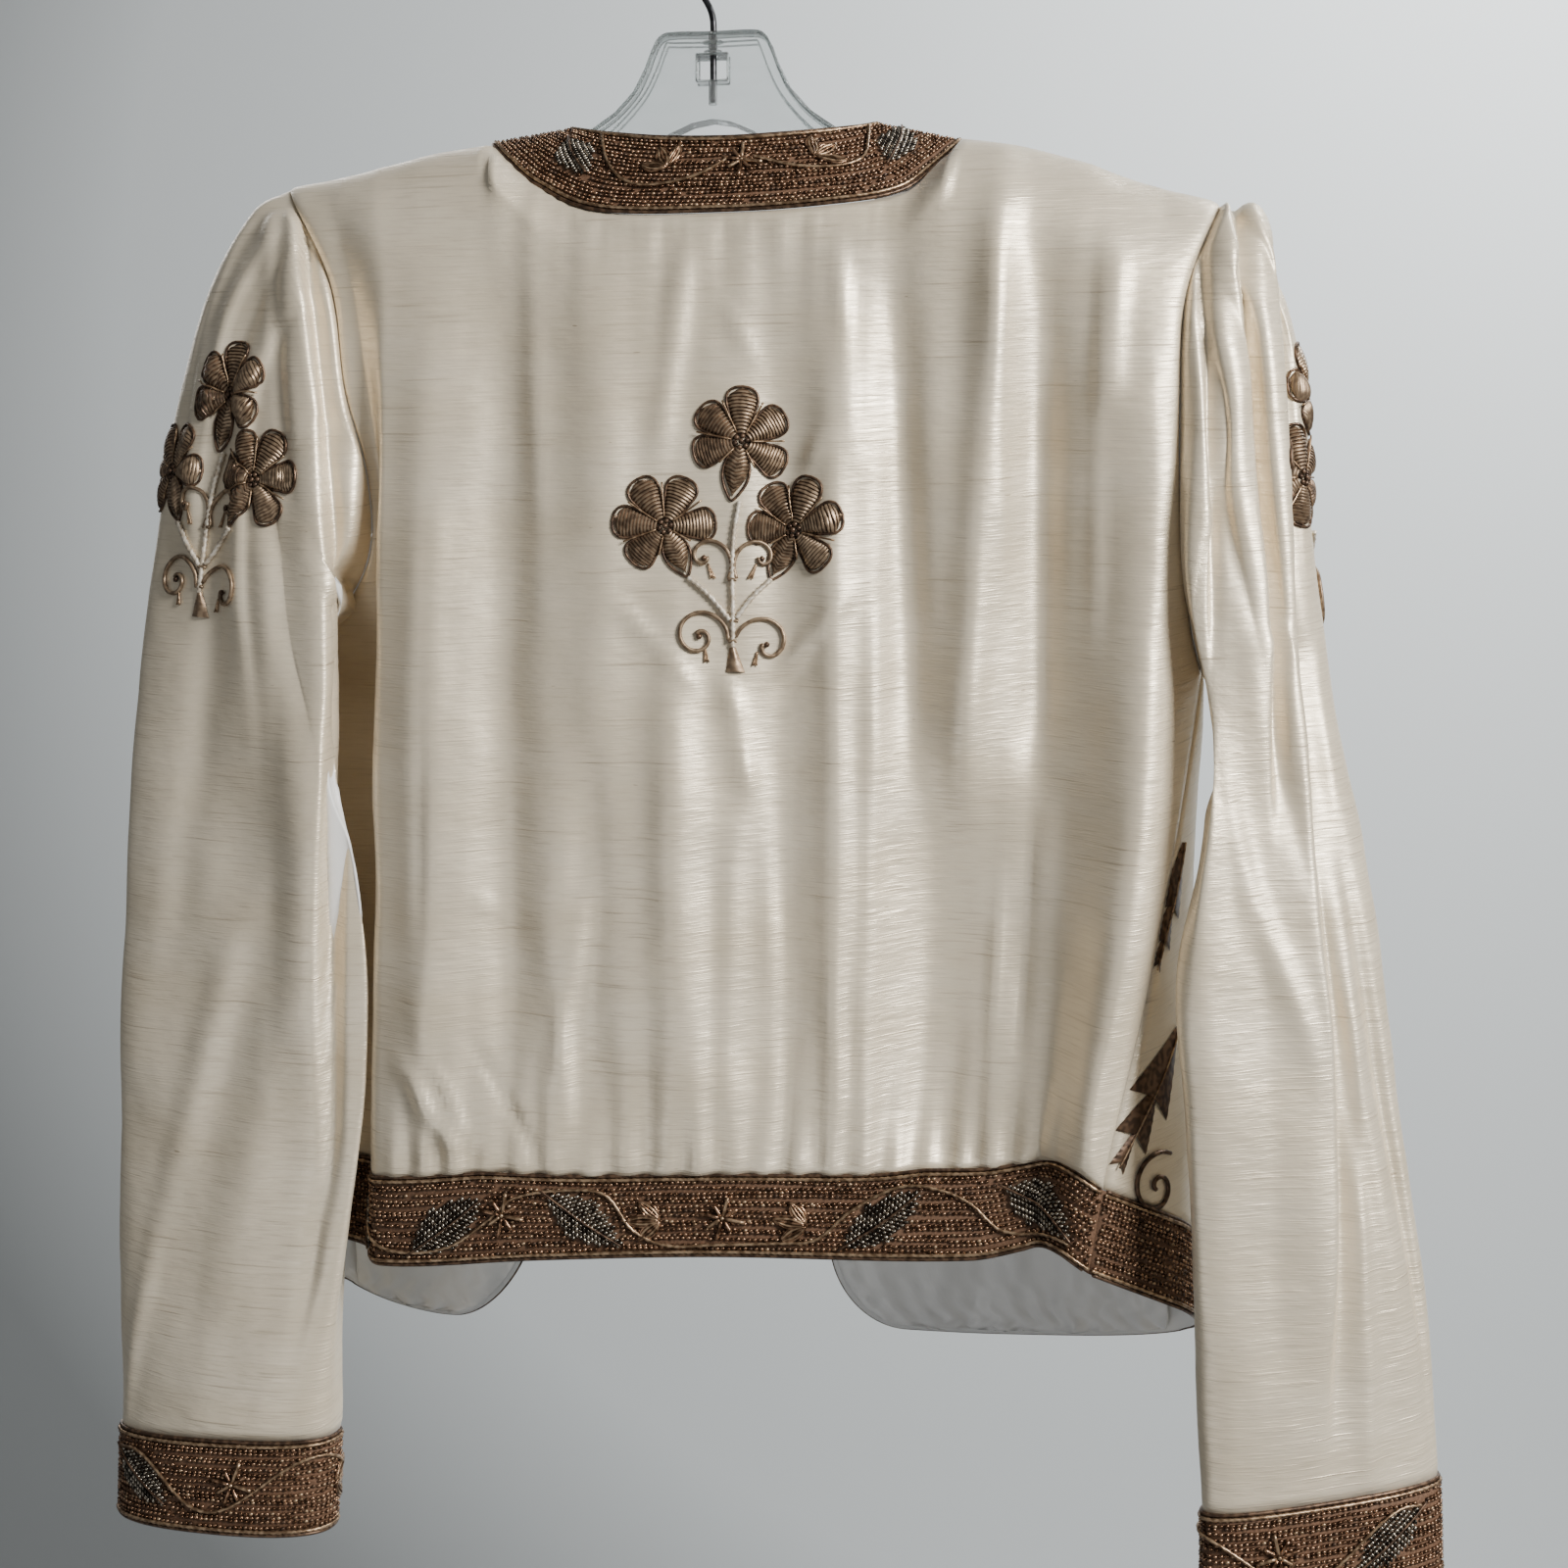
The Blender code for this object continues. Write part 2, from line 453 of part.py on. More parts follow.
def sheet(name, columns, rows, point, wall, slot, where, flip=False, closed=False):
    """A cloth wall: a grid whose points a function places, made solid towards its inner side."""
    work = bmesh.new()
    across_count = len(columns) - 1
    down_count = len(rows) - 1
    bmesh.ops.create_grid(work, x_segments=across_count, y_segments=down_count, size=0.5)
    for vert in work.verts:
        u = columns[round((vert.co.x + 0.5) * across_count)]
        v = rows[round((vert.co.y + 0.5) * down_count)]
        vert.co = [value * MM for value in point(u, v)]
    if closed:
        bmesh.ops.remove_doubles(work, verts=work.verts, dist=0.00001)
    if flip:
        bmesh.ops.reverse_faces(work, faces=work.faces)
    mesh = bpy.data.meshes.new(name)
    work.to_mesh(mesh)
    work.free()
    mesh.shade_smooth()
    made = place_object(name, mesh, material(name, slot, 0.45), where)
    shell = made.modifiers.new("wall", "SOLIDIFY")
    shell.thickness = wall * MM
    shell.offset = -1.0
    shell.thickness_clamp = 0.9
    return made


def evenly(start, end, count):
    """count steps from start to end, both ends included."""
    return [mix(start, end, k / count) for k in range(count + 1)]


def back_columns(gap):
    """Places across the back: closer through the gathers than beside the seams."""
    start, end = HEM_GATHER_SPAN
    left, middle, right = BACK_COLUMNS
    return evenly(gap, start, left)[:-1] + evenly(start, end, middle) + evenly(end, 1 - gap, right)[1:]


def make_back(where):
    """The back panel, its hem band and its neck band."""
    gap = SEAM_GAP / 430.0
    sheet("back", back_columns(gap), ROWS, back_point, CLOTH_WALL, "silk", where, flip=True)
    band_rows = evenly(BAND_TOP + BAND_GAP / 440.0, 1.0, 2)
    sheet("back_hem_band", back_columns(gap), band_rows,
          lambda u, down: back_point(u, down, relief=False), BAND_WALL, "band", where, flip=True)

    def neck_point(along, share):
        """A point of the neck band, from its free edge to its sewn one, parted at the shoulders."""
        free_x, free_y, free_z, sewn_x, sewn_y, sewn_z = between(NECK, along)
        share *= 1 - NECK_GAP / BAND_WIDTH
        y = min(mix(free_y, sewn_y, share), -BAND_SHOULDER_GAP)
        return mix(free_x, sewn_x, share), y, mix(free_z, sewn_z, share)

    sheet("neck_band", evenly(0.0, 1.0, 22), evenly(0.0, 1.0, 2), neck_point, BAND_WALL, "band", where,
          flip=True)


def make_front(side, where):
    """A front panel, the band round its edge and the lining that shows inside its hem."""
    flip = side == "right"
    seam_gap = SEAM_GAP / 200.0

    def panel_point(share, down):
        """The panel runs from the side seam to the band's sewn edge."""
        inner = band_place(side, down) - SEAM_GAP / 200.0
        return front_point(side, mix(seam_gap, inner, share), down)

    sheet(side + "_front", evenly(0.0, 1.0, FRONT_COLUMNS), ROWS, panel_point, CLOTH_WALL, "silk", where,
          flip=flip)

    route = front_band_route(side)
    hem_gap = 0.03
    hem_inset = seam_gap

    def band_point(place, share):
        """Across the band from its sewn edge to its free edge."""
        sewn, free = route[round(place)]
        share = mix(hem_gap, 1.0, share)
        w = max(mix(sewn[0], free[0], share), hem_inset)
        return front_point(side, w, mix(sewn[1], free[1], share))

    sheet(side + "_front_band", list(range(len(route))), (0.0, 0.5, 1.0), band_point, BAND_WALL, "band",
          where, flip=not flip)

    lining_inset = 2.0
    lining_depth = BAND_WALL + 0.5
    lining_start = 0.23
    probe = 0.01

    def lining_point(share, down):
        """Just inside the panel, rounded at the free corner as the band is."""
        end = 1.0
        if down > BAND_TOP:
            corner = band_place(side, BAND_TOP)
            rise = (down - BAND_TOP) / (1.0 - BAND_TOP)
            end = mix(corner, 1.0, math.sqrt(max(1.0 - rise * rise, 0.0)))
        w = mix(lining_start, end - lining_inset / 200.0, share)
        x, y, z = front_point(side, w, down)
        ahead = front_point(side, min(w + probe, 1.0), down)
        behind = front_point(side, w - probe, down)
        run = math.hypot(ahead[0] - behind[0], ahead[1] - behind[1])
        turn = -1.0 if side == "left" else 1.0
        x -= turn * lining_depth * (ahead[1] - behind[1]) / run
        y += turn * lining_depth * (ahead[0] - behind[0]) / run
        return x, y, z + lining_inset * (down - LINING_ROWS[0]) / (1.0 - LINING_ROWS[0])

    sheet(side + "_lining", evenly(0.0, 1.0, FRONT_COLUMNS), LINING_ROWS, lining_point, LINING_WALL, "satin",
          where, flip=flip)


def make_sleeve(side, where):
    """A sleeve and its cuff, both tubes."""
    columns = evenly(0.0, 1.0, SLEEVE_COLUMNS)
    for place, half_width, _rise, _start, _end in SLEEVE_PLEATS[side]:
        columns.extend((place - half_width, place, place + half_width))
    columns = sorted(set(columns))
    kept = [columns[0]]
    for q in columns[1:-1]:
        if q - kept[-1] > 0.012:
            kept.append(q)
    kept.append(1.0)
    flip = side == "left"
    sheet(side + "_sleeve", kept, SLEEVE_ROWS, lambda q, along: sleeve_point(side, q, along), SLEEVE_WALL,
          "silk", where, flip=flip, closed=True)
    cuff_rows = evenly(SLEEVE_END + 0.0009, CUFF_END, 2)
    sheet(side + "_cuff", evenly(0.0, 1.0, SLEEVE_COLUMNS), cuff_rows,
          lambda q, along: sleeve_ring(side, q, along), BAND_WALL, "band", where, flip=flip, closed=True)


def wire(name, points, radius, finish, where):
    """A round wire along points, as a mesh with welded caps."""
    curve = bpy.data.curves.new(name, "CURVE")
    curve.dimensions = "3D"
    curve.bevel_depth = radius * MM
    curve.bevel_resolution = 2
    curve.use_fill_caps = True
    line = curve.splines.new("POLY")
    line.points.add(len(points) - 1)
    for target, (x, y, z) in zip(line.points, points):
        target.co = (x * MM, y * MM, z * MM, 1.0)
    return made_mesh(name, curve, finish, where)


def made_mesh(name, curve, finish, where):
    """Turns a curve into a mesh object of that name, its caps welded."""
    source = bpy.data.objects.new(name + "_curve", curve)
    where.objects.link(source)
    depsgraph = bpy.context.evaluated_depsgraph_get()
    mesh = bpy.data.meshes.new_from_object(source.evaluated_get(depsgraph))
    bpy.data.objects.remove(source)
    work = bmesh.new()
    work.from_mesh(mesh)
    bmesh.ops.remove_doubles(work, verts=work.verts, dist=0.00001)
    work.to_mesh(mesh)
    work.free()
    mesh.materials.clear()
    return place_object(name, mesh, finish, where)


def make_hanger(where, cutters):
    """The clear hanger: a flat outline with a window and a bore for the hook's stem."""
    right = list(HANGER_TOP) + list(HANGER_BOTTOM)
    left = [(-x, z) for x, z in reversed(right) if x > 0.0]
    outline = []
    for x, z in right + left:
        outline.append((x, z - HANGER_TILT * x * fade(abs(x), 0.0, HANGER_HEAD)))
    curve = bpy.data.curves.new("hanger_outline", "CURVE")
    curve.dimensions = "2D"
    curve.fill_mode = "BOTH"
    curve.extrude = HANGER_THICKNESS / 2 * MM
    line = curve.splines.new("POLY")
    line.points.add(len(outline) - 1)
    for target, (x, z) in zip(line.points, outline):
        target.co = (x * MM, z * MM, 0.0, 1.0)
    line.use_cyclic_u = True
    body = made_mesh("hanger", curve, material("hanger", "plastic", 0.08, see_through=0.9), where)
    work = bmesh.new()
    work.from_mesh(body.data)
    for vert in work.verts:
        vert.co = (vert.co.x, -vert.co.z, vert.co.y)
    bmesh.ops.recalc_face_normals(work, faces=work.faces)
    work.to_mesh(body.data)
    work.free()

    width, height, window_z = WINDOW
    bpy.ops.mesh.primitive_cube_add(size=1.0, location=(0.0, 0.0, window_z * MM))
    window = bpy.context.object
    window.dimensions = (width * MM, 2 * HANGER_THICKNESS * MM, height * MM)
    bore_middle = (BORE_TOP + BORE_BOTTOM) / 2
    bpy.ops.mesh.primitive_cylinder_add(vertices=16, radius=BORE_RADIUS * MM,
                                        depth=(BORE_TOP - BORE_BOTTOM) * MM,
                                        location=(0.0, 0.0, bore_middle * MM))
    bore = bpy.context.object
    for name, cutter in (("window_cutter", window), ("bore_cutter", bore)):
        cutter.name = name
        cutter.hide_render = True
        cutter.display_type = "WIRE"
        for owner in list(cutter.users_collection):
            owner.objects.unlink(cutter)
        cutters.objects.link(cutter)
        cut = body.modifiers.new(name, "BOOLEAN")
        cut.operation = "DIFFERENCE"
        cut.solver = "EXACT"
        cut.object = cutter


def make_hook(where):
    """The wire hook: an arc over the rail, then the stem down into the hanger's head."""
    centre_z = WIRE_RADIUS - HOOK_RADIUS
    points = []
    steps = 22
    for k in range(steps + 1):
        angle = math.radians(mix(HOOK_TIP_ANGLE, HOOK_NECK_ANGLE, k / steps))
        points.append((HOOK_RADIUS * math.cos(angle), 0.0, centre_z + HOOK_RADIUS * math.sin(angle)))
    points.extend((x, 0.0, z) for x, z in HOOK_STEM)
    finish = material("hook", "steel", 0.35, metallic=1.0)
    made = wire("hook", points, WIRE_RADIUS, finish, where)
    made.data.shade_smooth()


def build():
    """Clears the scene and models every piece."""
    for old in list(bpy.data.objects):
        bpy.data.objects.remove(old)
    jacket = bpy.data.collections.new("evening_jacket")
    cutters = bpy.data.collections.new("cutters")
    bpy.context.scene.collection.children.link(jacket)
    bpy.context.scene.collection.children.link(cutters)
    make_hook(jacket)
    make_hanger(jacket, cutters)
    make_back(jacket)
    for side in ("left", "right"):
        make_front(side, jacket)
        make_sleeve(side, jacket)


build()
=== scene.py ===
"""The evening jacket's look: silk shells, bead bands, goldwork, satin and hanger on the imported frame.

Sizes are in millimetres until a mesh is made. The origin is the inner top of the hook, +Z is up,
and the jacket's back faces -Y. The tables and surfaces are those of the solids, sampled finer, with
the folds of the back reshaped and deeper folds and creases added.
"""
import math

import bmesh
import bpy
import numpy as np
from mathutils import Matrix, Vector
from mathutils import noise
from mathutils.bvhtree import BVHTree


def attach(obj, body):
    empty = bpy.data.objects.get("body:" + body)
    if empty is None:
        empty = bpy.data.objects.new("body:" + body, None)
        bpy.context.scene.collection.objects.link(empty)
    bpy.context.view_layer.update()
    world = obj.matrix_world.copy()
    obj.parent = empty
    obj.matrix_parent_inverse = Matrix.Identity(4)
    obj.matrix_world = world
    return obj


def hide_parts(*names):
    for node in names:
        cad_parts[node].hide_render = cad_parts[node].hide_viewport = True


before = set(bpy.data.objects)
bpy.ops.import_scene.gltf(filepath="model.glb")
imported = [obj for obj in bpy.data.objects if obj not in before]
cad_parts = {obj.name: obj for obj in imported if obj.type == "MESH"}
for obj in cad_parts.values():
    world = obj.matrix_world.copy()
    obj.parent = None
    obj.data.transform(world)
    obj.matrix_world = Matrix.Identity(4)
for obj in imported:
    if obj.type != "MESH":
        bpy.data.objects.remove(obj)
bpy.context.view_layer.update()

MM = 0.001

# How far the back stops below the neck band, the parting along the shoulders, and the bands' width
NECK_DROP = 0.4
SHOULDER_GAP = 0.3
BAND_WIDTH = 36.0

# How the cloth rolls over the hanger's arms, as the depth of the round below the shoulder line
ROLL_HEIGHT = 45.0
NECK_ROLL = 18.0

# Shares of the way down a panel, from its top edge to its hem
UNDERARM = 0.45
BAND_TOP = 0.922

# Shoulder line: x, z
SHOULDER = ((-194.0, -125.0), (-150.0, -118.0), (-125.0, -112.0), (-101.0, -108.0), (-63.0, -103.0),
            (73.0, -106.0), (112.0, -115.0), (140.0, -119.0), (161.0, -125.0), (190.0, -136.0),
            (222.0, -147.0))

# Back neck band: place along it, its free edge x y z, its sewn edge x y z
NECK = ((0.00, -63.0, 0.0, -103.0, -101.0, 0.0, -108.0),
        (0.03, -62.0, -4.0, -103.3, -99.8, -5.0, -109.0),
        (0.10, -55.0, -10.0, -106.0, -90.0, -18.0, -120.0),
        (0.22, -42.0, -17.0, -110.0, -73.0, -31.0, -136.0),
        (0.36, -18.0, -25.0, -115.0, -44.0, -40.0, -150.5),
        (0.50, 10.0, -28.0, -117.0, 10.0, -43.0, -153.5),
        (0.64, 32.0, -25.0, -115.5, 56.0, -40.0, -151.0),
        (0.78, 52.0, -17.0, -112.0, 86.0, -31.0, -144.0),
        (0.90, 66.0, -9.0, -108.5, 102.0, -17.0, -128.0),
        (0.97, 72.0, -4.0, -106.3, 111.0, -5.0, -116.2),
        (1.00, 73.0, 0.0, -106.0, 112.0, 0.0, -115.0))

# Hem of each panel: place across it, z
BACK_HEM = ((0.0, -600.0), (0.19, -603.0), (0.35, -598.0), (0.54, -595.0), (0.80, -595.0), (0.90, -588.0),
            (1.0, -598.0))
FRONT_HEM = {"left": ((0.0, -600.0), (0.10, -616.0), (0.22, -634.0), (0.6, -648.0), (1.0, -646.0)),
             "right": ((0.0, -598.0), (0.10, -622.0), (0.22, -640.0), (0.6, -649.0), (1.0, -647.0))}

# Armhole seams: down, back x, back y, front x, front y
ARMHOLE = {"left": ((0.00, -194.0, -30.0, -194.0, 26.0),
                    (0.10, -167.0, -31.0, -170.0, 30.0),
                    (0.21, -158.0, -34.0, -162.0, 31.0),
                    (0.29, -149.0, -31.0, -162.0, 27.0),
                    (0.36, -151.0, -24.0, -172.0, 19.0),
                    (0.41, -170.0, -10.0, -190.0, 9.0),
                    (UNDERARM, -199.0, 1.0, -199.0, 1.0)),
           "right": ((0.00, 222.0, -28.0, 222.0, 24.0),
                     (0.10, 205.0, -34.0, 208.0, 28.0),
                     (0.21, 202.0, -38.0, 204.0, 28.0),
                     (0.33, 203.0, -35.0, 207.0, 16.0),
                     (0.41, 208.0, -24.0, 211.0, -6.0),
                     (UNDERARM, 213.0, -14.0, 213.0, -14.0))}

# Side seams: down, x, y
SIDE_SEAM = {"left": ((UNDERARM, -199.0, 1.0), (0.60, -200.0, 2.0), (0.75, -192.0, 1.0),
                      (0.90, -181.0, -2.0), (1.00, -177.0, -4.0)),
             "right": ((UNDERARM, 213.0, -14.0), (0.60, 201.0, -38.0), (0.75, 188.0, -45.0),
                       (0.90, 172.0, -50.0), (1.00, 164.0, -49.0))}

# The back between its seams, one row for each section down it:
# down, corner x y (the recess beside the left roll), roll x y, middle x y, valley x y, lip x y
BACK_STATIONS = (0.10, 0.19, 0.54, 0.86, 0.94)
BACK_SECTIONS = ((0.00, -172.0, -36.0, -150.0, -40.0, 12.0, -43.0, 168.0, -38.0, 198.0, -33.0),
                 (0.10, -155.0, -36.0, -137.0, -44.0, 14.0, -46.0, 158.0, -41.0, 189.0, -40.0),
                 (0.21, -147.0, -36.0, -136.0, -46.0, 15.0, -48.0, 155.0, -41.0, 190.0, -45.0),
                 (0.33, -142.0, -27.0, -136.0, -48.0, 16.0, -49.0, 153.0, -38.0, 190.0, -46.0),
                 (0.45, -146.0, -8.0, -136.5, -49.0, 16.0, -49.0, 152.0, -34.0, 190.0, -48.0),
                 (0.60, -148.0, -4.0, -136.5, -49.0, 16.0, -49.0, 152.0, -30.0, 184.0, -52.0),
                 (0.75, -148.0, -4.0, -136.5, -49.0, 16.0, -49.0, 149.0, -29.0, 175.0, -53.0),
                 (0.90, -152.0, -10.0, -137.0, -49.0, 14.0, -49.0, 143.0, -36.0, 162.0, -52.0),
                 (1.00, -154.0, -17.0, -136.0, -48.0, 12.0, -48.0, 138.0, -42.0, 154.0, -50.0))

# The fronts: down, fold x y (the body's side), turn x y, middle x y, opening edge x y
FRONT_STATIONS = (0.09, 0.20, 0.60, 1.00)
FRONT_SECTIONS = {
    "left": ((0.00, -180.0, 30.0, -162.0, 33.0, -112.0, 36.0, -63.0, 36.0),
             (0.10, -160.0, 33.0, -148.0, 36.0, -102.0, 39.0, -57.0, 38.0),
             (0.21, -154.0, 34.0, -143.0, 37.0, -96.0, 41.0, -49.0, 40.0),
             (0.33, -166.0, 28.0, -152.0, 35.0, -100.0, 42.0, -48.0, 42.0),
             (0.45, -206.0, 6.0, -189.0, 28.0, -122.0, 42.0, -52.0, 43.0),
             (0.52, -209.0, 11.0, -195.0, 32.0, -126.0, 43.0, -57.0, 43.0),
             (0.60, -212.0, 13.0, -197.0, 33.0, -130.0, 43.0, -62.0, 43.0),
             (0.75, -206.0, 14.0, -191.0, 35.0, -134.0, 44.0, -76.0, 43.0),
             (0.90, -198.0, 14.0, -184.0, 37.0, -138.0, 45.0, -91.0, 44.0),
             (1.00, -194.0, 14.0, -180.0, 38.0, -140.0, 45.0, -99.0, 44.0)),
    "right": ((0.00, 206.0, 28.0, 188.0, 32.0, 130.0, 36.0, 73.0, 36.0),
              (0.10, 198.0, 31.0, 184.0, 35.0, 124.0, 39.0, 66.0, 38.0),
              (0.21, 195.0, 32.0, 183.0, 36.0, 120.0, 41.0, 56.0, 40.0),
              (0.33, 204.0, 26.0, 192.0, 36.0, 122.0, 42.0, 52.0, 42.0),
              (0.45, 213.0, 2.0, 202.0, 28.0, 126.0, 42.0, 50.0, 43.0),
              (0.60, 211.0, 2.0, 203.0, 30.0, 126.0, 43.0, 50.0, 43.0),
              (0.75, 208.0, -6.0, 204.0, 28.0, 127.0, 44.0, 49.0, 43.0),
              (0.90, 206.0, -14.0, 206.0, 26.0, 128.0, 45.0, 48.0, 44.0),
              (1.00, 206.0, -18.0, 208.0, 24.0, 128.0, 45.0, 47.0, 44.0))}

# Long soft folds of the back: top x z, bottom x z, half width, height (a valley is below 0)
BACK_FOLDS = ((-84.0, -190.0, -80.0, -540.0, 14.0, -7.0),
              (-118.0, -230.0, -116.0, -540.0, 12.0, 5.0),
              (-42.0, -180.0, -36.0, -420.0, 14.0, 4.6),
              (-44.0, -400.0, -46.0, -545.0, 9.0, -3.4),
              (-10.0, -340.0, -4.0, -550.0, 12.0, 6.0),
              (36.0, -200.0, 38.0, -550.0, 12.0, -5.0),
              (58.0, -210.0, 60.0, -545.0, 7.0, 3.6),
              (84.0, -185.0, 90.0, -390.0, 10.0, -8.0),
              (128.0, -150.0, 112.0, -400.0, 9.0, 6.4),
              (98.0, -400.0, 98.0, -560.0, 19.0, -8.0),
              (145.0, -200.0, 144.0, -390.0, 9.0, -8.0),
              (176.0, -175.0, 172.0, -240.0, 6.0, 3.0),
              (160.0, -400.0, 157.0, -560.0, 15.0, 6.0),
              (-4.0, -165.0, -16.0, -260.0, 6.0, 2.6),
              (76.0, -330.0, 70.0, -550.0, 4.5, 1.8),
              (16.0, -420.0, 12.0, -545.0, 5.0, 1.6),
              (-126.0, -515.0, -104.0, -552.0, 5.0, 3.0))

# Gathers above the hem band, one height for each, left to right, and those under the neck band: x, height
HEM_GATHERS = (1.2, 1.8, 2.4, 1.4, 2.2, 1.6, 2.6, 1.8, 2.2, 2.8, 1.6, 2.2, 2.6, 1.4, 2.0, 2.4, 1.6,
               2.2, 1.8, 2.4, 1.4)
# The stretch across the back that the hem's gathers fill, and how fast gathers die away from a band
HEM_GATHER_SPAN = (0.19, 0.90)
HEM_GATHER_REACH = 34.0
NECK_GATHERS = ((-86.0, 1.2), (-72.0, 1.6), (-49.0, 2.0), (-21.0, 1.6), (5.0, 1.8), (20.0, 1.4), (36.0, 2.0),
                (50.0, 1.6))
NECK_GATHER_REACH = 30.0
NECK_GATHER_WIDTH = 4.5

# Sleeves: along, outer edge x y z, inner edge x y z, back depth, front depth, back bow, front bow.
# A bow carries the middle of that side towards the body, as the armhole seam runs.
SLEEVE_SECTIONS = {
    "left": ((0.00, -195.0, 0.0, -125.0, -200.0, -1.0, -341.0, 35.0, 31.0, 40.0, 36.0),
             (0.05, -212.0, 0.0, -133.0, -212.0, -8.0, -350.0, 41.0, 31.0, 43.0, 14.0),
             (0.12, -231.0, -5.0, -172.0, -214.0, -13.0, -362.0, 38.0, 24.0, 40.0, 4.0),
             (0.22, -245.0, -10.0, -227.0, -209.0, -17.0, -376.0, 33.5, 16.0, 46.0, -8.0),
             (0.32, -253.0, -14.0, -285.0, -200.0, -19.0, -392.0, 30.0, 12.0, 50.0, -6.0),
             (0.42, -259.0, -18.0, -342.0, -190.0, -20.0, -415.0, 27.0, 9.0, 58.0, -2.0),
             (0.55, -264.0, -20.0, -420.0, -172.0, -23.0, -455.0, 23.0, 9.0, 60.0, 0.0),
             (0.70, -267.0, -20.0, -516.0, -162.0, -28.0, -525.0, 21.0, 10.0, 50.0, 0.0),
             (0.85, -267.0, -20.0, -602.0, -160.0, -31.0, -606.0, 21.0, 12.0, 30.0, 0.0),
             (1.00, -266.0, -20.0, -683.0, -161.0, -33.0, -680.0, 23.0, 14.0, 6.0, 0.0),
             (1.08, -266.0, -20.0, -721.0, -163.0, -33.0, -721.0, 24.0, 14.0, 0.0, 0.0)),
    "right": ((0.00, 223.0, 0.0, -147.0, 214.0, -16.0, -352.0, 34.0, 30.0, 18.0, 14.0),
              (0.05, 236.0, -2.0, -152.0, 219.0, -20.0, -358.0, 36.0, 33.0, 19.0, 6.0),
              (0.12, 250.0, -4.0, -190.0, 223.0, -26.0, -368.0, 33.0, 32.0, 25.0, -2.0),
              (0.22, 257.0, -6.0, -235.0, 223.0, -31.0, -384.0, 30.0, 28.0, 30.0, -8.0),
              (0.32, 259.0, -8.0, -285.0, 220.0, -36.0, -402.0, 29.0, 26.0, 22.0, -10.0),
              (0.42, 265.0, -12.0, -342.0, 214.0, -44.0, -425.0, 26.0, 22.0, 18.0, -9.0),
              (0.55, 279.0, -20.0, -425.0, 205.0, -51.0, -465.0, 20.0, 17.0, 16.0, -4.0),
              (0.70, 292.0, -24.0, -520.0, 203.0, -56.0, -530.0, 15.0, 15.0, 6.0, 0.0),
              (0.85, 302.0, -25.0, -606.0, 206.0, -58.0, -612.0, 14.0, 15.0, 0.0, 0.0),
              (1.00, 308.0, -25.0, -682.0, 209.0, -58.0, -690.0, 14.0, 16.0, 0.0, 0.0),
              (1.08, 309.0, -25.0, -721.0, 209.0, -58.0, -729.0, 14.0, 16.0, 0.0, 0.0))}
# Where the sleeve and its cuff end along it, and how far down its head blends into the armhole seam
SLEEVE_END = 1.0
CUFF_END = 1.08
SEAM_BLEND = 0.12
# How much more the back's bow reaches below the sleeve's middle, and the stretch along it that this ends over
BOW_SKEW = {"left": (1.7, 0.15, 0.50), "right": (0.8, 0.05, 0.25)}
# The sleeve's gap to the body at its seam (below 0 it laps over) and its step towards the back underneath
SLEEVE_SEAM_GAP = -0.4
UNDERARM_STEP = 1.2
# How flat the lower sleeve hangs (1 is an ellipse), and a head pleat's width on its far, steeper side
FLATNESS = 0.82
PLEAT_STEEPNESS = 0.45

# Pleats at the sleeve head and creases down the sleeve: place round it (0 at the shoulder, 0.25 at the
# back), half width, height, and the stretch along the sleeve that it fades over
SLEEVE_PLEATS = {"left": ((0.050, 0.018, 4.6, 0.0, 0.24), (0.075, 0.009, -2.2, 0.0, 0.22),
                          (0.105, 0.018, 5.0, 0.0, 0.40), (0.135, 0.010, -2.6, 0.0, 0.36),
                          (0.165, 0.020, 4.0, 0.0, 0.52), (0.200, 0.034, 4.6, 0.16, 1.00)),
                 "right": ((0.045, 0.018, 4.6, 0.0, 0.30), (0.072, 0.010, -3.2, 0.0, 0.40),
                           (0.115, 0.024, 5.4, 0.0, 0.52), (0.150, 0.010, -1.6, 0.0, 0.30),
                           (0.175, 0.018, 3.0, 0.0, 0.42), (0.130, 0.026, 4.0, 0.36, 0.98))}

# Hanger: the top edge of one half of its head, x and z
HANGER_TOP = ((0.0, -62.0), (20.0, -62.0), (24.5, -64.5), (27.5, -70.0), (30.5, -78.0), (35.5, -88.0),
              (44.0, -97.5), (55.0, -105.1), (64.0, -110.2))
# How much lower one arm hangs, from the head's half width outwards, and the depth of the flat faces
HANGER_TILT = 0.028
HANGER_HEAD = 44.0
HANGER_FACE = 4.05
# The window round the wire: width, height, middle z. The rings of the bushing: z, radius
WINDOW = (14.0, 12.0, -78.0)
BUSHING = ((-66.2, 4.3), (-70.4, 3.6))
BUSHING_DEPTH = 3.4

# Hook: the wire's radius, the loop's radius and the angles that it runs between, and the stem's x and z
WIRE_RADIUS = 1.55
HOOK_RADIUS = 21.0
HOOK_TIP_ANGLE = -32.0
HOOK_NECK_ANGLE = 222.0
HOOK_STEM = ((-6.5, -42.5), (-3.0, -47.5), (-0.8, -52.5), (0.0, -58.0), (0.0, -75.0), (0.0, -92.5))

# Lining: where it starts across a front and down it, and the share down where its rows close up
LINING_START = 0.23
LINING_TOP = 0.72
LINING_LOW = 0.985
# How far it stays inside the panel's edge and behind the panel, its slack, and its least depth behind
LINING_INSET = 2.0
LINING_DEPTH = 2.3
LINING_SLACK = 2.0
LINING_LEAST = 1.2
# Rough sizes that turn shares of a panel into millimetres: its width, the lining's width, its length
PANEL_WIDTH = 200.0
LINING_WIDTH = 110.0
PANEL_LENGTH = 480.0

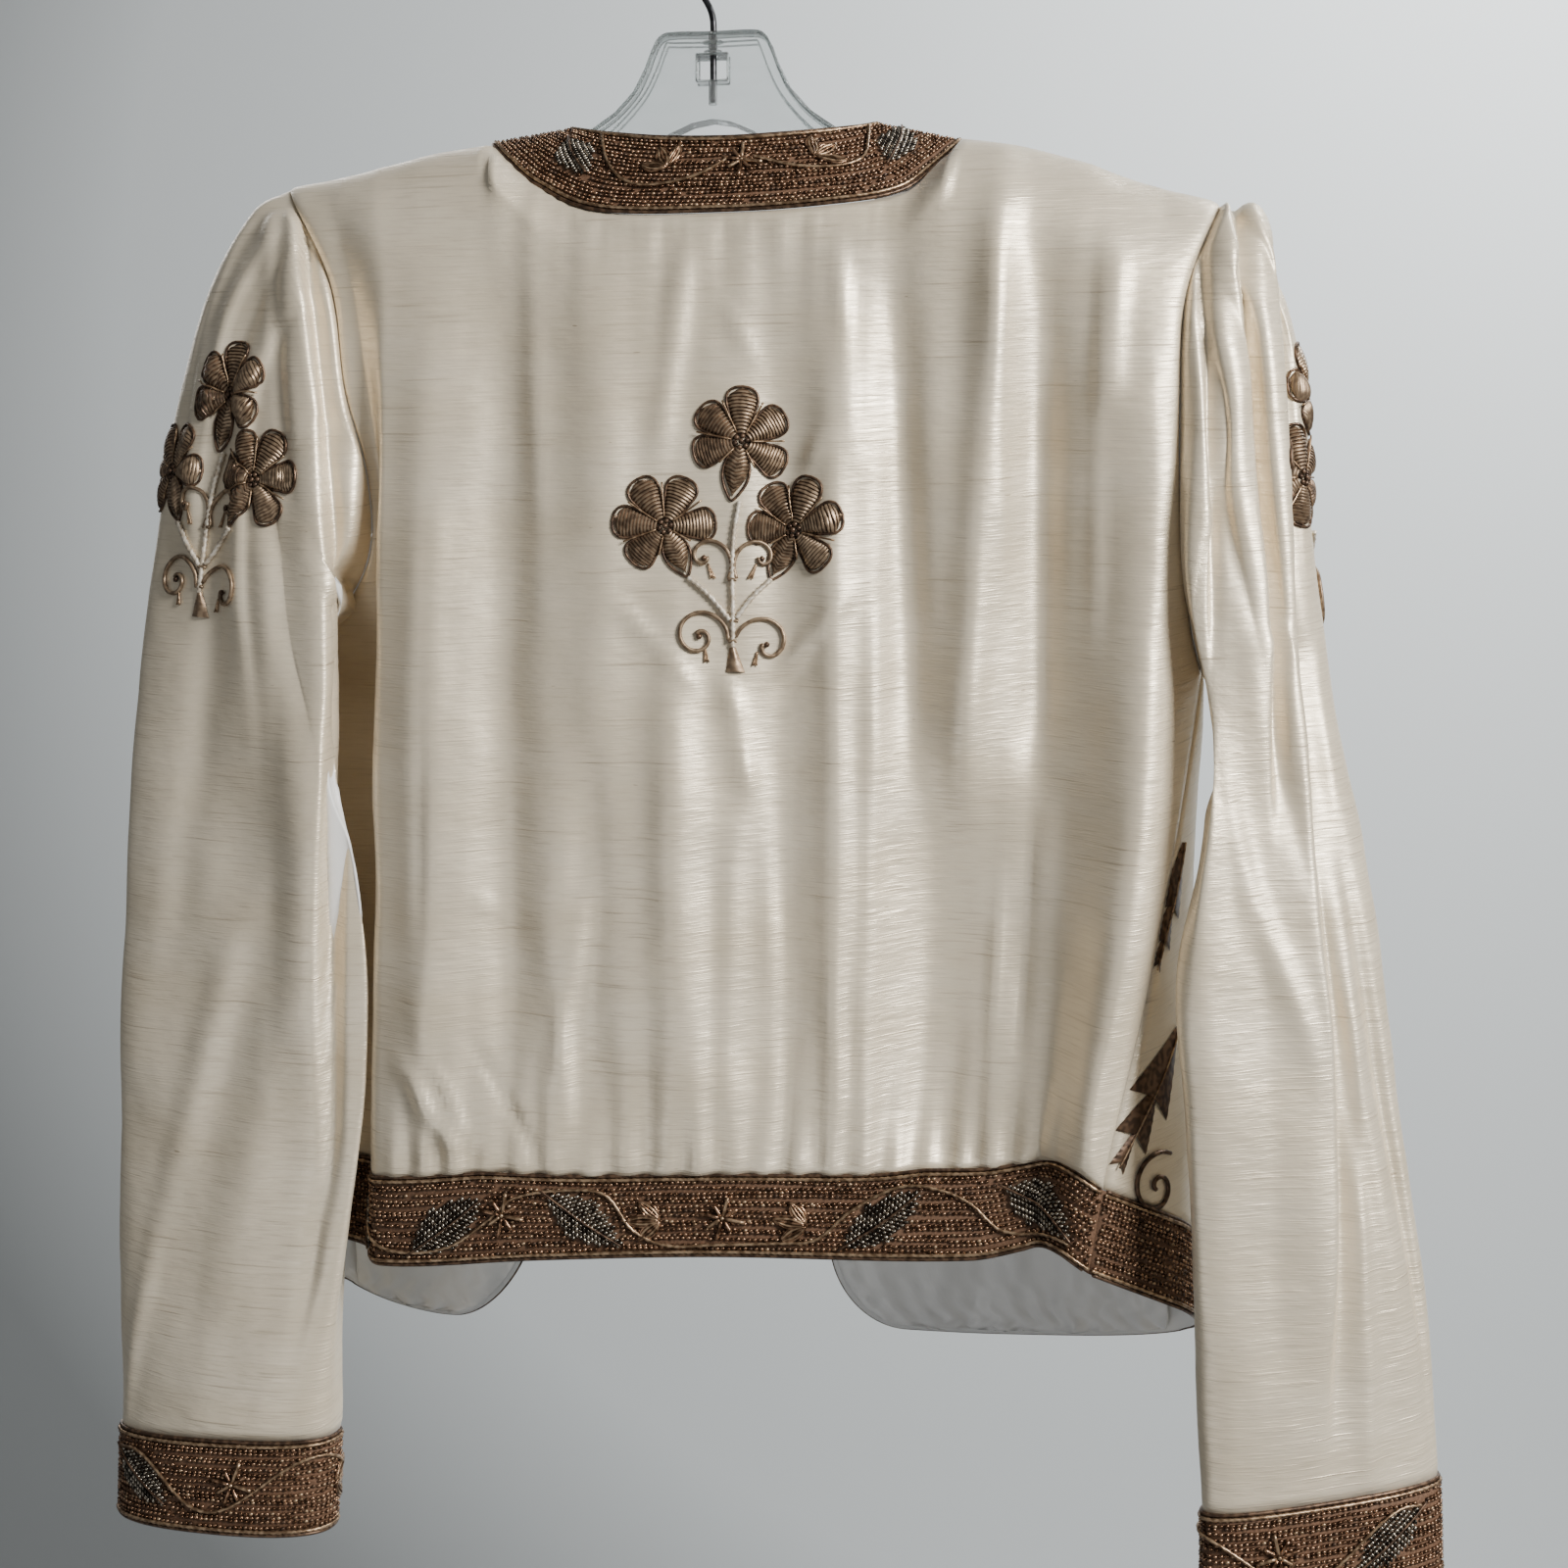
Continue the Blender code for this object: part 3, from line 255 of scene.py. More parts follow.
# Walls of the silk's, the bands' and the satin's shells
SHELL = 0.6
BAND_SHELL = 1.0
SATIN_SHELL = 0.5

# Crumpling of the silk, as sizes and heights, and the depth and width of the ditch along its seams
CRUMPLE = ((44.0, 1.7), (20.0, 0.7), (8.0, 0.16))
STITCH_DITCH = 0.35
STITCH_WIDTH = 1.4

# Extra creases of the back: top x z, bottom x z, half width, height
BACK_CREASES = ((14.0, -354.0, 22.0, -396.0, 4.6, 2.6),
                (-30.0, -322.0, -4.0, -352.0, 4.0, 2.0),
                (64.0, -318.0, 34.0, -350.0, 4.0, 2.0),
                (52.0, -250.0, 44.0, -276.0, 4.0, 1.6),
                (-112.0, -515.0, -98.0, -545.0, 2.6, 1.6),
                (-92.0, -512.0, -70.0, -550.0, 2.4, -1.6),
                (-58.0, -488.0, -54.0, -540.0, 3.0, 1.4),
                (-92.0, -446.0, -84.0, -452.0, 5.0, 1.3),
                (60.0, -168.0, 66.0, -250.0, 4.0, 1.5),
                (-72.0, -170.0, -66.0, -300.0, 5.0, 1.3),
                (126.0, -178.0, 128.0, -300.0, 3.6, 1.4),
                (170.0, -190.0, 166.0, -330.0, 3.0, 1.2),
                (30.0, -420.0, 34.0, -548.0, 4.0, 1.2),
                (-44.0, -430.0, -60.0, -520.0, 4.5, 1.2),
                (62.0, -450.0, 66.0, -552.0, 3.4, -1.2),
                (-116.0, -300.0, -118.0, -480.0, 4.0, -1.2),
                (128.0, -430.0, 122.0, -552.0, 3.4, 1.4),
                (10.0, -190.0, 26.0, -220.0, 4.0, 0.9),
                (140.0, -420.0, 136.0, -500.0, 3.0, -1.4))

# Extra creases of a sleeve: place round it and along it at both ends, half width round it, height
SLEEVE_CREASES = {"left": ((0.06, 0.06, 0.10, 0.30, 0.012, 1.8),
                           (0.14, 0.30, 0.10, 0.60, 0.016, -2.0),
                           (0.30, 0.40, 0.24, 0.52, 0.020, 1.7),
                           (0.16, 0.58, 0.08, 0.95, 0.018, 1.8),
                           (0.24, 0.62, 0.30, 0.90, 0.014, -1.8),
                           (0.60, 0.20, 0.72, 0.55, 0.022, 2.2),
                           (0.84, 0.10, 0.80, 0.45, 0.020, 2.4),
                           (0.76, 0.50, 0.86, 0.92, 0.024, -2.1)),
                  "right": ((0.48, 0.26, 0.48, 0.62, 0.060, 5.0),
                            (0.06, 0.05, 0.08, 0.34, 0.012, 1.8),
                            (0.20, 0.20, 0.16, 0.52, 0.018, -2.1),
                            (0.10, 0.48, 0.07, 0.92, 0.016, -2.4),
                            (0.26, 0.46, 0.20, 0.70, 0.018, 1.8),
                            (0.17, 0.62, 0.20, 0.96, 0.016, 2.1),
                            (0.62, 0.22, 0.70, 0.56, 0.022, 2.2),
                            (0.84, 0.12, 0.78, 0.42, 0.020, 2.4),
                            (0.74, 0.52, 0.84, 0.94, 0.024, -2.1))}

# Folds that fall from a sleeve's head down its back half: the path of the fold's edge as z and x, from
# the top down, then its width and height (a groove is below 0)
HEAD_FOLDS = {
    "left": ((((-136.0, -183.0), (-166.0, -179.0), (-207.0, -171.5), (-266.0, -164.0), (-340.0, -161.0),
               (-460.0, -165.0), (-610.0, -163.0)), 11.0, 6.0),
             (((-150.0, -168.0), (-180.0, -163.0), (-202.0, -159.0), (-231.0, -154.0), (-262.0, -150.0),
               (-292.0, -148.0)), 9.0, 5.0),
             (((-136.0, -190.0), (-180.0, -187.0), (-230.0, -183.0), (-290.0, -176.0)), 4.0, -2.6)),
    "right": ((((-140.0, 223.0), (-200.0, 226.0), (-260.0, 230.0), (-330.0, 235.0), (-430.0, 237.0)),
               9.0, 5.4),
              (((-140.0, 238.0), (-220.0, 243.0), (-300.0, 247.0), (-360.0, 250.0)), 8.0, 4.6),
              (((-330.0, 247.0), (-420.0, 254.0), (-500.0, 260.0), (-570.0, 262.0), (-690.0, 257.0)),
               12.0, 5.0),
              (((-150.0, 206.0), (-240.0, 211.0), (-360.0, 212.0)), 7.0, 3.2))}

# Creases of a front, side seam to opening: place across and down at both ends, half width across, height
FRONT_CREASES = ((0.82, 0.04, 0.60, 0.36, 0.030, 3.7),
                 (0.30, 0.10, 0.46, 0.40, 0.032, -3.4),
                 (0.52, 0.30, 0.56, 0.70, 0.036, 3.4),
                 (0.36, 0.52, 0.30, 0.90, 0.028, 2.9),
                 (0.66, 0.55, 0.62, 0.91, 0.026, -2.9),
                 (0.74, 0.72, 0.76, 0.92, 0.020, 3.2),
                 (0.44, 0.74, 0.46, 0.92, 0.018, 2.9),
                 (0.22, 0.36, 0.34, 0.60, 0.026, 3.2))


def between(rows, at):
    """The other columns of a table at a place in its first column, on a smooth curve through the rows."""
    last = len(rows) - 1
    at = min(max(at, rows[0][0]), rows[last][0])
    i = 0
    while i < last - 1 and at > rows[i + 1][0]:
        i += 1
    before, a, b, after = rows[max(i - 1, 0)], rows[i], rows[i + 1], rows[min(i + 2, last)]
    span = b[0] - a[0]
    t = (at - a[0]) / span
    values = []
    for k in range(1, len(a)):
        slope_a = (b[k] - before[k]) / (b[0] - before[0]) * span
        slope_b = (after[k] - a[k]) / (after[0] - a[0]) * span
        rise = b[k] - a[k]
        values.append(a[k] + t * slope_a + t * t * (3 * rise - 2 * slope_a - slope_b)
                      + t * t * t * (slope_a + slope_b - 2 * rise))
    return values


def mix(a, b, t):
    """The value a fraction t of the way from a to b."""
    return a + (b - a) * t


def bump(distance, half_width):
    """A smooth hill: 1 at its middle and nearly 0 at twice its half width."""
    return math.exp(-(distance / half_width) ** 2)


def fade(at, start, end):
    """Rises smoothly from 0 to 1 between start and end."""
    t = min(max((at - start) / (end - start), 0.0), 1.0)
    return t * t * (3 - 2 * t)


def rolled(y, top_y, drop, start=0.0):
    """The depth of a panel that rolls over the shoulder: top_y at its top edge, y below the roll.

    A start above 0 begins part way down the round, as under the neck band."""
    def rounded(height):
        """The round's depth at a height below its top, as a share of the whole."""
        return math.sqrt(max(1.0 - (1.0 - min(height / ROLL_HEIGHT, 1.0)) ** 2, 0.0))

    share = (rounded(drop + start) - rounded(start)) / (1.0 - rounded(start))
    return mix(top_y, y, share)


def seam(side, down, face):
    """x and y of a panel's outer edge: the armhole above the underarm, the side seam below it."""
    if down < UNDERARM:
        back_x, back_y, front_x, front_y = between(ARMHOLE[side], down)
        return (back_x, back_y) if face == "back" else (front_x, front_y)
    return tuple(between(SIDE_SEAM[side], down))


def across(stations, at):
    """x and y on a smooth curve through (place, x, y) stations, knotted by the lengths between them."""
    knots = [0.0]
    for a, b in zip(stations, stations[1:]):
        knots.append(knots[-1] + math.hypot(b[1] - a[1], b[2] - a[2]))
    i = 0
    while i < len(stations) - 2 and at > stations[i + 1][0]:
        i += 1
    share = (at - stations[i][0]) / (stations[i + 1][0] - stations[i][0])
    rows = [(knot, x, y) for knot, (_place, x, y) in zip(knots, stations)]
    return between(rows, mix(knots[i], knots[i + 1], share))


NECK_EDGE = [between(NECK, k / 88)[3:6] for k in range(89)]


def back_top(x):
    """y and z of the back's top edge: the shoulder line, or the neck band's sewn edge."""
    if NECK[0][4] < x < NECK[-1][4]:
        k = 1
        while NECK_EDGE[k][0] < x:
            k += 1
        share = (x - NECK_EDGE[k - 1][0]) / (NECK_EDGE[k][0] - NECK_EDGE[k - 1][0])
        return mix(NECK_EDGE[k - 1][1], NECK_EDGE[k][1], share), mix(NECK_EDGE[k - 1][2], NECK_EDGE[k][2],
                                                                     share) - NECK_DROP
    return -SHOULDER_GAP / 2, between(SHOULDER, x)[0]


def back_relief(x, z, u, drop, above_hem):
    """How far the back's folds and gathers stand out of it."""
    height = 0.0
    for top_x, top_z, low_x, low_z, half_width, rise in BACK_FOLDS:
        t = (z - top_z) / (low_z - top_z)
        line = mix(top_x, low_x, min(max(t, 0.0), 1.0))
        height += (rise * bump(x - line, half_width) * fade(t, -0.25, 0.25)
                   * (1 - fade(t, 0.8, 1.15)))
    start, end = HEM_GATHER_SPAN
    place = (u - start) / (end - start) * len(HEM_GATHERS)
    if 0 < place < len(HEM_GATHERS):
        wave = 0.5 - 0.5 * math.cos(2 * math.pi * place)
        height += HEM_GATHERS[int(place)] * wave * math.exp(-above_hem / HEM_GATHER_REACH)
    for gather_x, rise in NECK_GATHERS:
        height += rise * bump(x - gather_x, NECK_GATHER_WIDTH) * math.exp(-drop / NECK_GATHER_REACH)
    return height * fade(drop, 0.0, 10.0)


def back_point(u, down, relief=True):
    """A point of the back, u across it from the left seam to the right one."""
    section = between(BACK_SECTIONS, down)
    stations = [(-0.08, *between(FRONT_SECTIONS["left"], down)[:2]), (0.0, *seam("left", down, "back"))]
    for k, place in enumerate(BACK_STATIONS):
        stations.append((place, section[2 * k], section[2 * k + 1]))
    stations.append((1.0, *seam("right", down, "back")))
    stations.append((1.06, *between(FRONT_SECTIONS["right"], down)[:2]))
    x, y = across(stations, u)
    top_stations = [(0.0, ARMHOLE["left"][0][1])]
    for k, place in enumerate(BACK_STATIONS):
        top_stations.append((place, BACK_SECTIONS[0][1 + 2 * k]))
    top_stations.append((1.0, ARMHOLE["right"][0][1]))
    top_y, top_z = back_top(between(top_stations, u)[0])
    z = mix(top_z, between(BACK_HEM, u)[0], down)
    drop = top_z - z
    y = rolled(y, top_y, drop, NECK_ROLL * fade(-top_y, 0.0, 8.0))
    if relief:
        above_hem = (BAND_TOP - down) * (top_z - between(BACK_HEM, u)[0])
        y -= back_relief(x, z, u, drop, max(above_hem, 0.0))
    return x, y, z


def front_point(side, w, down):
    """A point of a front, w across it from the side seam to the opening edge."""
    section = between(FRONT_SECTIONS[side], down)
    near = between(BACK_SECTIONS, down)
    beyond = near[0:2] if side == "left" else near[8:10]
    stations = [(-0.08, *beyond), (0.0, *seam(side, down, "front"))]
    for k, place in enumerate(FRONT_STATIONS):
        stations.append((place, section[2 * k], section[2 * k + 1]))
    x, y = across(stations, w)
    first = FRONT_SECTIONS[side][0]
    top_stations = [(0.0, ARMHOLE[side][0][3])]
    for k, place in enumerate(FRONT_STATIONS):
        top_stations.append((place, first[1 + 2 * k]))
    top_x = between(top_stations, w)[0]
    top_z = between(SHOULDER, top_x)[0]
    z = mix(top_z, between(FRONT_HEM[side], w)[0], down)
    return x, rolled(y, SHOULDER_GAP / 2, top_z - z), z


def band_place(side, down):
    """Where, across a front, the band's sewn edge runs beside the opening."""
    section = between(FRONT_SECTIONS[side], down)
    flat = abs(section[6] - section[4])
    return 1.0 - (FRONT_STATIONS[3] - FRONT_STATIONS[2]) * BAND_WIDTH / flat


def sleeve_loop(side, q):
    """The sleeve's sewn edge: the armhole's two edges, moved out by the seam's gap."""
    turn = 2 * math.pi * q
    down = UNDERARM * (1 - math.cos(turn)) / 2
    if q <= 0.5 or q == 1.0:
        x, y, z = back_point(0.0 if side == "left" else 1.0, down, relief=False)
    else:
        x, y, z = front_point(side, 0.0, down)
    out = -1.0 if side == "left" else 1.0
    low = ((1 - math.cos(turn)) / 2) ** 3
    if q in (0.0, 1.0):
        y = 0.0
    return x + out * SLEEVE_SEAM_GAP, y - UNDERARM_STEP * low, z - 0.4 * low


def sleeve_ring(side, q, along):
    """A point of the sleeve by its section table alone."""
    out_x, out_y, out_z, in_x, in_y, in_z, back, front, back_bow, front_bow = between(
        SLEEVE_SECTIONS[side], along)
    turn = 2 * math.pi * q
    flat = fade(along, 0.45, 0.75)
    c = math.copysign(abs(math.cos(turn)) ** mix(1.0, FLATNESS, flat), math.cos(turn))
    s = math.copysign(abs(math.sin(turn)) ** mix(1.0, FLATNESS, flat), math.sin(turn))
    skew, skew_start, skew_end = BOW_SKEW[side]
    back_bow *= 1 + skew * max(-c, 0.0) * (1 - fade(along, skew_start, skew_end))
    depth, bow = (back, back_bow) if s > 0 else (front, front_bow)
    inward = 1.0 if side == "left" else -1.0
    for place, half_width, rise, start, end in SLEEVE_PLEATS[side]:
        away = min(abs(q - place), 1 - abs(q - place))
        reach = 1.0 if start == 0.0 else fade(along, start, start + 0.12)
        width = half_width * (PLEAT_STEEPNESS if start == 0.0 and rise > 0 and q > place else 1.0)
        depth += rise * bump(away, width) * reach * (1 - fade(along, 0.5 * (start + end), end + 0.01))
    x = mix(in_x, out_x, (1 + c) / 2) + inward * bow * s * s
    y = mix(in_y, out_y, (1 + c) / 2) - depth * s
    z = mix(in_z, out_z, (1 + c) / 2)
    return x, y, z


def sleeve_point(side, q, along):
    """A point of the sleeve: q round it from the shoulder through the back, along it from its head."""
    x, y, z = sleeve_ring(side, q, along)
    if along < SEAM_BLEND:
        share = (1 - along / SEAM_BLEND) ** 2
        edge = sleeve_loop(side, q)
        ring = sleeve_ring(side, q, 0.0)
        x += (edge[0] - ring[0]) * share
        y += (edge[1] - ring[1]) * share
        z += (edge[2] - ring[2]) * share
    return x, y, z


# The cloth's relief, its grids and its shells


def crumple(x, y, z):
    """Soft uneven crumpling of the silk, by place."""
    total = 0.0
    for size, height in CRUMPLE:
        total += height * noise.noise(Vector((x / size, y / size, z / (1.6 * size))))
    return total


def lap(away, width):
    """The profile of a fold that lies over: a slow rise, a sharp fall at its edge, and a groove past it."""
    rise = fade(-away, -0.30 * width, 0.14 * width) * (1 - fade(-away, 0.2 * width, 2.2 * width))
    groove = fade(away, 0.0, 0.30 * width) * (1 - fade(away, 0.35 * width, 1.1 * width))
    return rise - 0.9 * groove


def fold_height(folds, x, z):
    """The height of a table of falling folds at a place."""
    height = 0.0
    for path, width, rise in folds:
        top, low = path[0][0], path[-1][0]
        if low < z < top:
            away = x - between(path[::-1], z)[0]
            reach = fade(top - z, 0.0, 12.0) * fade(z - low, 0.0, 0.35 * (top - low))
            height += rise * reach * (bump(away, width) if rise < 0 else lap(away, width))
    return height


def crease_height(rows, at_x, at_z, period=None):
    """The height of a table of slanting creases at a place: two coordinates for each end."""
    height = 0.0
    for x0, z0, x1, z1, half_width, rise in rows:
        t = (at_z - z0) / (z1 - z0)
        if -0.4 < t < 1.4:
            away = at_x - mix(x0, x1, t)
            if period:
                away -= period * round(away / period)
            swell = 1.0 + 0.35 * math.sin(7.0 * t + 40.0 * x0)
            height += rise * swell * bump(away, half_width) * fade(t, -0.3, 0.3) * (1 - fade(t, 0.75, 1.3))
    return height


def sample(point, us, vs):
    """A grid of surface points: rows down v, columns along u."""
    return np.array([[point(u, v) for u in us] for v in vs])


def facing(points, sign, closed=False):
    """The outward normal at each point of a grid."""
    along = np.gradient(points, axis=1)
    if closed:
        turn = points[:, 1] - points[:, -2]
        along[:, 0] = turn
        along[:, -1] = turn
    normals = np.cross(along, np.gradient(points, axis=0)) * sign
    lengths = np.linalg.norm(normals, axis=2, keepdims=True)
    return normals / np.maximum(lengths, 1e-9)


def lengths_along(points, axis):
    """The length from the grid's first row or column to each point, along the cloth."""
    spans = np.linalg.norm(np.diff(points, axis=axis), axis=2)
    start = np.zeros_like(np.take(spans, [0], axis=axis))
    return np.cumsum(np.concatenate((start, spans), axis=axis), axis=axis)


def shell(name, points, sign, node, finishes, wall, closed=False):
    """A thin cloth shell through a grid, for a CAD node. Its UVs are in metres, across the cloth and up."""
    rows, columns, _ = points.shape
    wide = columns - 1 if closed else columns
    verts = (points[:, :wide] * MM).reshape(-1, 3)
    faces = []
    places = []
    flat_u = lengths_along(points, 1)
    flat_u -= flat_u[:, columns // 2:columns // 2 + 1]
    for i in range(rows - 1):
        for j in range(columns - 1):
            corners = [(i, j), (i, j + 1), (i + 1, j + 1), (i + 1, j)]
            if sign < 0:
                corners.reverse()
            faces.append([r * wide + (c % wide) for r, c in corners])
            places.extend((flat_u[r, c] * MM, (points[r, c, 2] - 0.25 * points[r, c, 1]) * MM)
                          for r, c in corners)
    mesh = bpy.data.meshes.new(name)
    mesh.from_pydata(verts.tolist(), [], faces)
    layer = mesh.uv_layers.new(name="cloth")
    layer.data.foreach_set("uv", np.array(places).ravel())
    mesh.shade_smooth()
    piece = add_piece(name, mesh, node, finishes)
    wall_modifier = piece.modifiers.new("wall", "SOLIDIFY")
    wall_modifier.thickness = wall * MM
    wall_modifier.offset = -1.0
    wall_modifier.thickness_clamp = 0.8
    if len(finishes) > 1:
        wall_modifier.material_offset = 1
    return piece


def add_piece(name, mesh, node, finishes):
    """Links a mesh as a piece of the jacket; node is the CAD node it stands for, or None."""
    for finish in finishes:
        mesh.materials.append(finish)
    piece = bpy.data.objects.new(name, mesh)
    bpy.context.scene.collection.objects.link(piece)
    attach(piece, "root")
    if node:
        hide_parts(node)
    return piece


class Strip:
    """A band of surface with places along it and across it in millimetres, row by row."""

    def __init__(self, points, sign, closed=False):
        self.points = points
        self.normals = facing(points, sign, closed)
        self.along = lengths_along(points, 1)
        self.across = lengths_along(points, 0)
        self.middle = self.along[len(points) // 2]
        self.width = float(np.median(self.across[-1]))

    def at(self, s, t, lift):
        """Points, normals and directions along, for arrays of places along the middle and across."""
        j = np.interp(s, self.middle, np.arange(len(self.middle)))
        i = np.clip(np.asarray(t) / self.width, 0.0, 1.0) * (len(self.points) - 1)
        return self.sample(i, j, lift)

    def sample(self, i, j, lift):
        """Points, normals and directions at grid places."""
        rows, columns, _ = self.points.shape
        i0 = np.clip(np.floor(i).astype(int), 0, rows - 2)
        j0 = np.clip(np.floor(j).astype(int), 0, columns - 2)
        fi = (i - i0)[:, None]
        fj = (j - j0)[:, None]

        def blend(grid):
            """The grid's value between its four corners."""
            top = grid[i0, j0] * (1 - fj) + grid[i0, j0 + 1] * fj
            low = grid[i0 + 1, j0] * (1 - fj) + grid[i0 + 1, j0 + 1] * fj
            return top * (1 - fi) + low * fi

        normal = blend(self.normals)
        normal /= np.linalg.norm(normal, axis=1, keepdims=True)
        ahead = self.points[i0, j0 + 1] - self.points[i0, j0]
        ahead -= normal * np.sum(ahead * normal, axis=1, keepdims=True)
        ahead /= np.maximum(np.linalg.norm(ahead, axis=1, keepdims=True), 1e-9)
        return blend(self.points) + normal * lift, normal, ahead

    def row(self, t, pitch, start=0.0):
        """Places along one row across the band, a bead's pitch apart by that row's own length."""
        i = min(max(t / self.width, 0.0), 1.0) * (len(self.points) - 1)
        low = min(int(i), len(self.points) - 2)
        lengths = self.along[low] * (1 - (i - low)) + self.along[low + 1] * (i - low)
        places = np.arange(start, lengths[-1] - pitch * 0.5, pitch)
        return np.full(len(places), i), np.interp(places, lengths, np.arange(len(lengths)))


class Spot:
    """A place on a surface, from which flat millimetre steps walk along it."""

    STRIDE = 3.0

    def __init__(self, tree, at, right, scale=1.0):
        hit, normal, _index, _distance = tree.find_nearest(Vector(at))
        self.tree = tree
        self.at = hit
        self.out = normal
        self.scale = scale
        self.right = (right - normal * right.dot(normal)).normalized()

    def walk(self, a, b):
        """The spot a millimetres to the right and b up from here."""
        distance = math.hypot(a, b) * self.scale
        there = Spot.__new__(Spot)
        there.tree, there.at, there.out, there.right = self.tree, self.at, self.out, self.right
        there.scale = self.scale
        if distance < 1e-6:
            return there
        ahead = (self.right * a + self.out.cross(self.right) * b) * self.scale / distance
        count = max(1, math.ceil(distance / self.STRIDE))
        for _step in range(count):
            there.at, there.out, _index, _far = self.tree.find_nearest(there.at + ahead * (distance / count))
            ahead = (ahead - there.out * ahead.dot(there.out)).normalized()
            there.right = (there.right - there.out * there.right.dot(there.out)).normalized()
        return there

    def turned(self, degrees):
        """The same spot with its right side turned towards up."""
        there = self.walk(0.0, 0.0)
        turn = math.radians(degrees)
        there.right = self.right * math.cos(turn) + self.out.cross(self.right) * math.sin(turn)
        return there

    def point(self, a, b, height):
        """A point above the surface."""
        there = self.walk(a, b)
        return np.array(there.at + there.out * height), np.array(there.out)


def quads(rows, wide):
    """Faces over a grid of corners: so many rows of faces, and wide corners in a row."""
    return [(k, k + 1, k + wide + 1, k + wide)
            for i in range(rows) for k in range(i * wide, i * wide + wide - 1)]


def flipped(faces):
    """The same faces turned over, each from the same first corner."""
    return [(face[0],) + face[:0:-1] for face in faces]


def tree_of(points, sign):
    """A search tree over a grid of points, in millimetres, its faces outward."""
    faces = quads(len(points) - 1, points.shape[1])
    if sign < 0:
        faces = [face[::-1] for face in faces]
    return BVHTree.FromPolygons(points.reshape(-1, 3).tolist(), faces)


# Small sewn things, gathered into one mesh for each piece


class Heap:
    """Vertices and faces of many small parts, with a material number for each."""

    def __init__(self):
        self.verts = []
        self.faces = []
        self.numbers = []
        self.count = 0

    def add(self, verts, faces, number):
        """Adds one part: vertices in millimetres, faces that index them."""
        self.verts.append(np.asarray(verts, dtype=float))
        self.faces.extend((np.asarray(faces) + self.count).tolist())
        self.numbers.extend([number] * len(faces))
        self.count += len(verts)

    def piece(self, name, slot, finishes, node=None):
        """Makes the piece."""
        mesh = bpy.data.meshes.new(name)
        mesh.from_pydata((np.concatenate(self.verts) * MM).tolist(), [], self.faces)
        mesh.polygons.foreach_set("material_index", self.numbers)
        mesh.shade_smooth()
        return add_piece(name, mesh, node, finishes)


def unit_bead():
    """A bead of radius 1: an icosahedron's corners and faces."""
    work = bmesh.new()
    bmesh.ops.create_icosphere(work, subdivisions=1, radius=1.0)
    verts = np.array([vert.co[:] for vert in work.verts])
    faces = [[vert.index for vert in face.verts] for face in work.faces]
    work.free()
    return verts, np.array(faces)


BEAD_VERTS, BEAD_FACES = unit_bead()


def add_beads(heap, places, number, size):
    """Many beads at (points, normals, directions); size is half along, half across, half height."""
    points, normals, ahead = places
    if len(points) == 0:
        return
    side = np.cross(normals, ahead)
    local = BEAD_VERTS * np.array(size)
    verts = (points[:, None, :] + ahead[:, None, :] * local[None, :, 0:1]
             + side[:, None, :] * local[None, :, 1:2] + normals[:, None, :] * local[None, :, 2:3])
    faces = BEAD_FACES[None] + (np.arange(len(points)) * len(BEAD_VERTS))[:, None, None]
    heap.add(verts.reshape(-1, 3), faces.reshape(-1, 3), number)


# How far a twisted cord's ridges stand out, as a share of its radius
RIDGE = 0.24


def smooth_line(points, step):
    """Points on a smooth curve through points, about a step apart."""
    points = np.asarray(points, dtype=float)
    knots = np.concatenate(([0.0], np.cumsum(np.linalg.norm(np.diff(points, axis=0), axis=1))))
    rows = [(knot, *point) for knot, point in zip(knots, points)]
    count = max(2, int(round(knots[-1] / step)))
    return np.array([between(rows, knots[-1] * k / count) for k in range(count + 1)])


def add_cord(heap, line, normals, radius, number, sides=6, pitch=0.0):
    """A cord along a line of points; a pitch above 0 gives it the ridges of two twisted strands."""
    line = np.asarray(line)
    normals = np.asarray(normals)
    ahead = np.gradient(line, axis=0)
    ahead /= np.maximum(np.linalg.norm(ahead, axis=1, keepdims=True), 1e-9)
    out = normals - ahead * np.sum(normals * ahead, axis=1, keepdims=True)
    out /= np.maximum(np.linalg.norm(out, axis=1, keepdims=True), 1e-9)
    side = np.cross(ahead, out)
    run = np.concatenate(([0.0], np.cumsum(np.linalg.norm(np.diff(line, axis=0), axis=1))))
    angles = np.arange(sides) * 2 * math.pi / sides
    rings = []
    for k in range(len(line)):
        reach = np.full(sides, radius)
        if pitch:
            reach = radius * (1 + RIDGE * np.cos(2 * angles - 2 * math.pi * run[k] / pitch))
        rings.append(line[k] + out[k] * (reach * np.cos(angles))[:, None]
                     + side[k] * (reach * np.sin(angles))[:, None])
    faces = []
    for k in range(len(line) - 1):
        for m in range(sides):
            n = (m + 1) % sides
            faces.append((k * sides + m, k * sides + n, (k + 1) * sides + n, (k + 1) * sides + m))
    verts = np.concatenate(rings + [line[:1], line[-1:]])
    last = (len(line) - 1) * sides
    triangles = [((m + 1) % sides, m, last + sides) for m in range(sides)]
    triangles += [(last + m, last + (m + 1) % sides, last + sides + 1) for m in range(sides)]
    heap.add(verts, faces, number)
    heap.faces.extend((np.asarray(triangles) + heap.count - len(verts)).tolist())
    heap.numbers.extend([number] * len(triangles))


# Materials


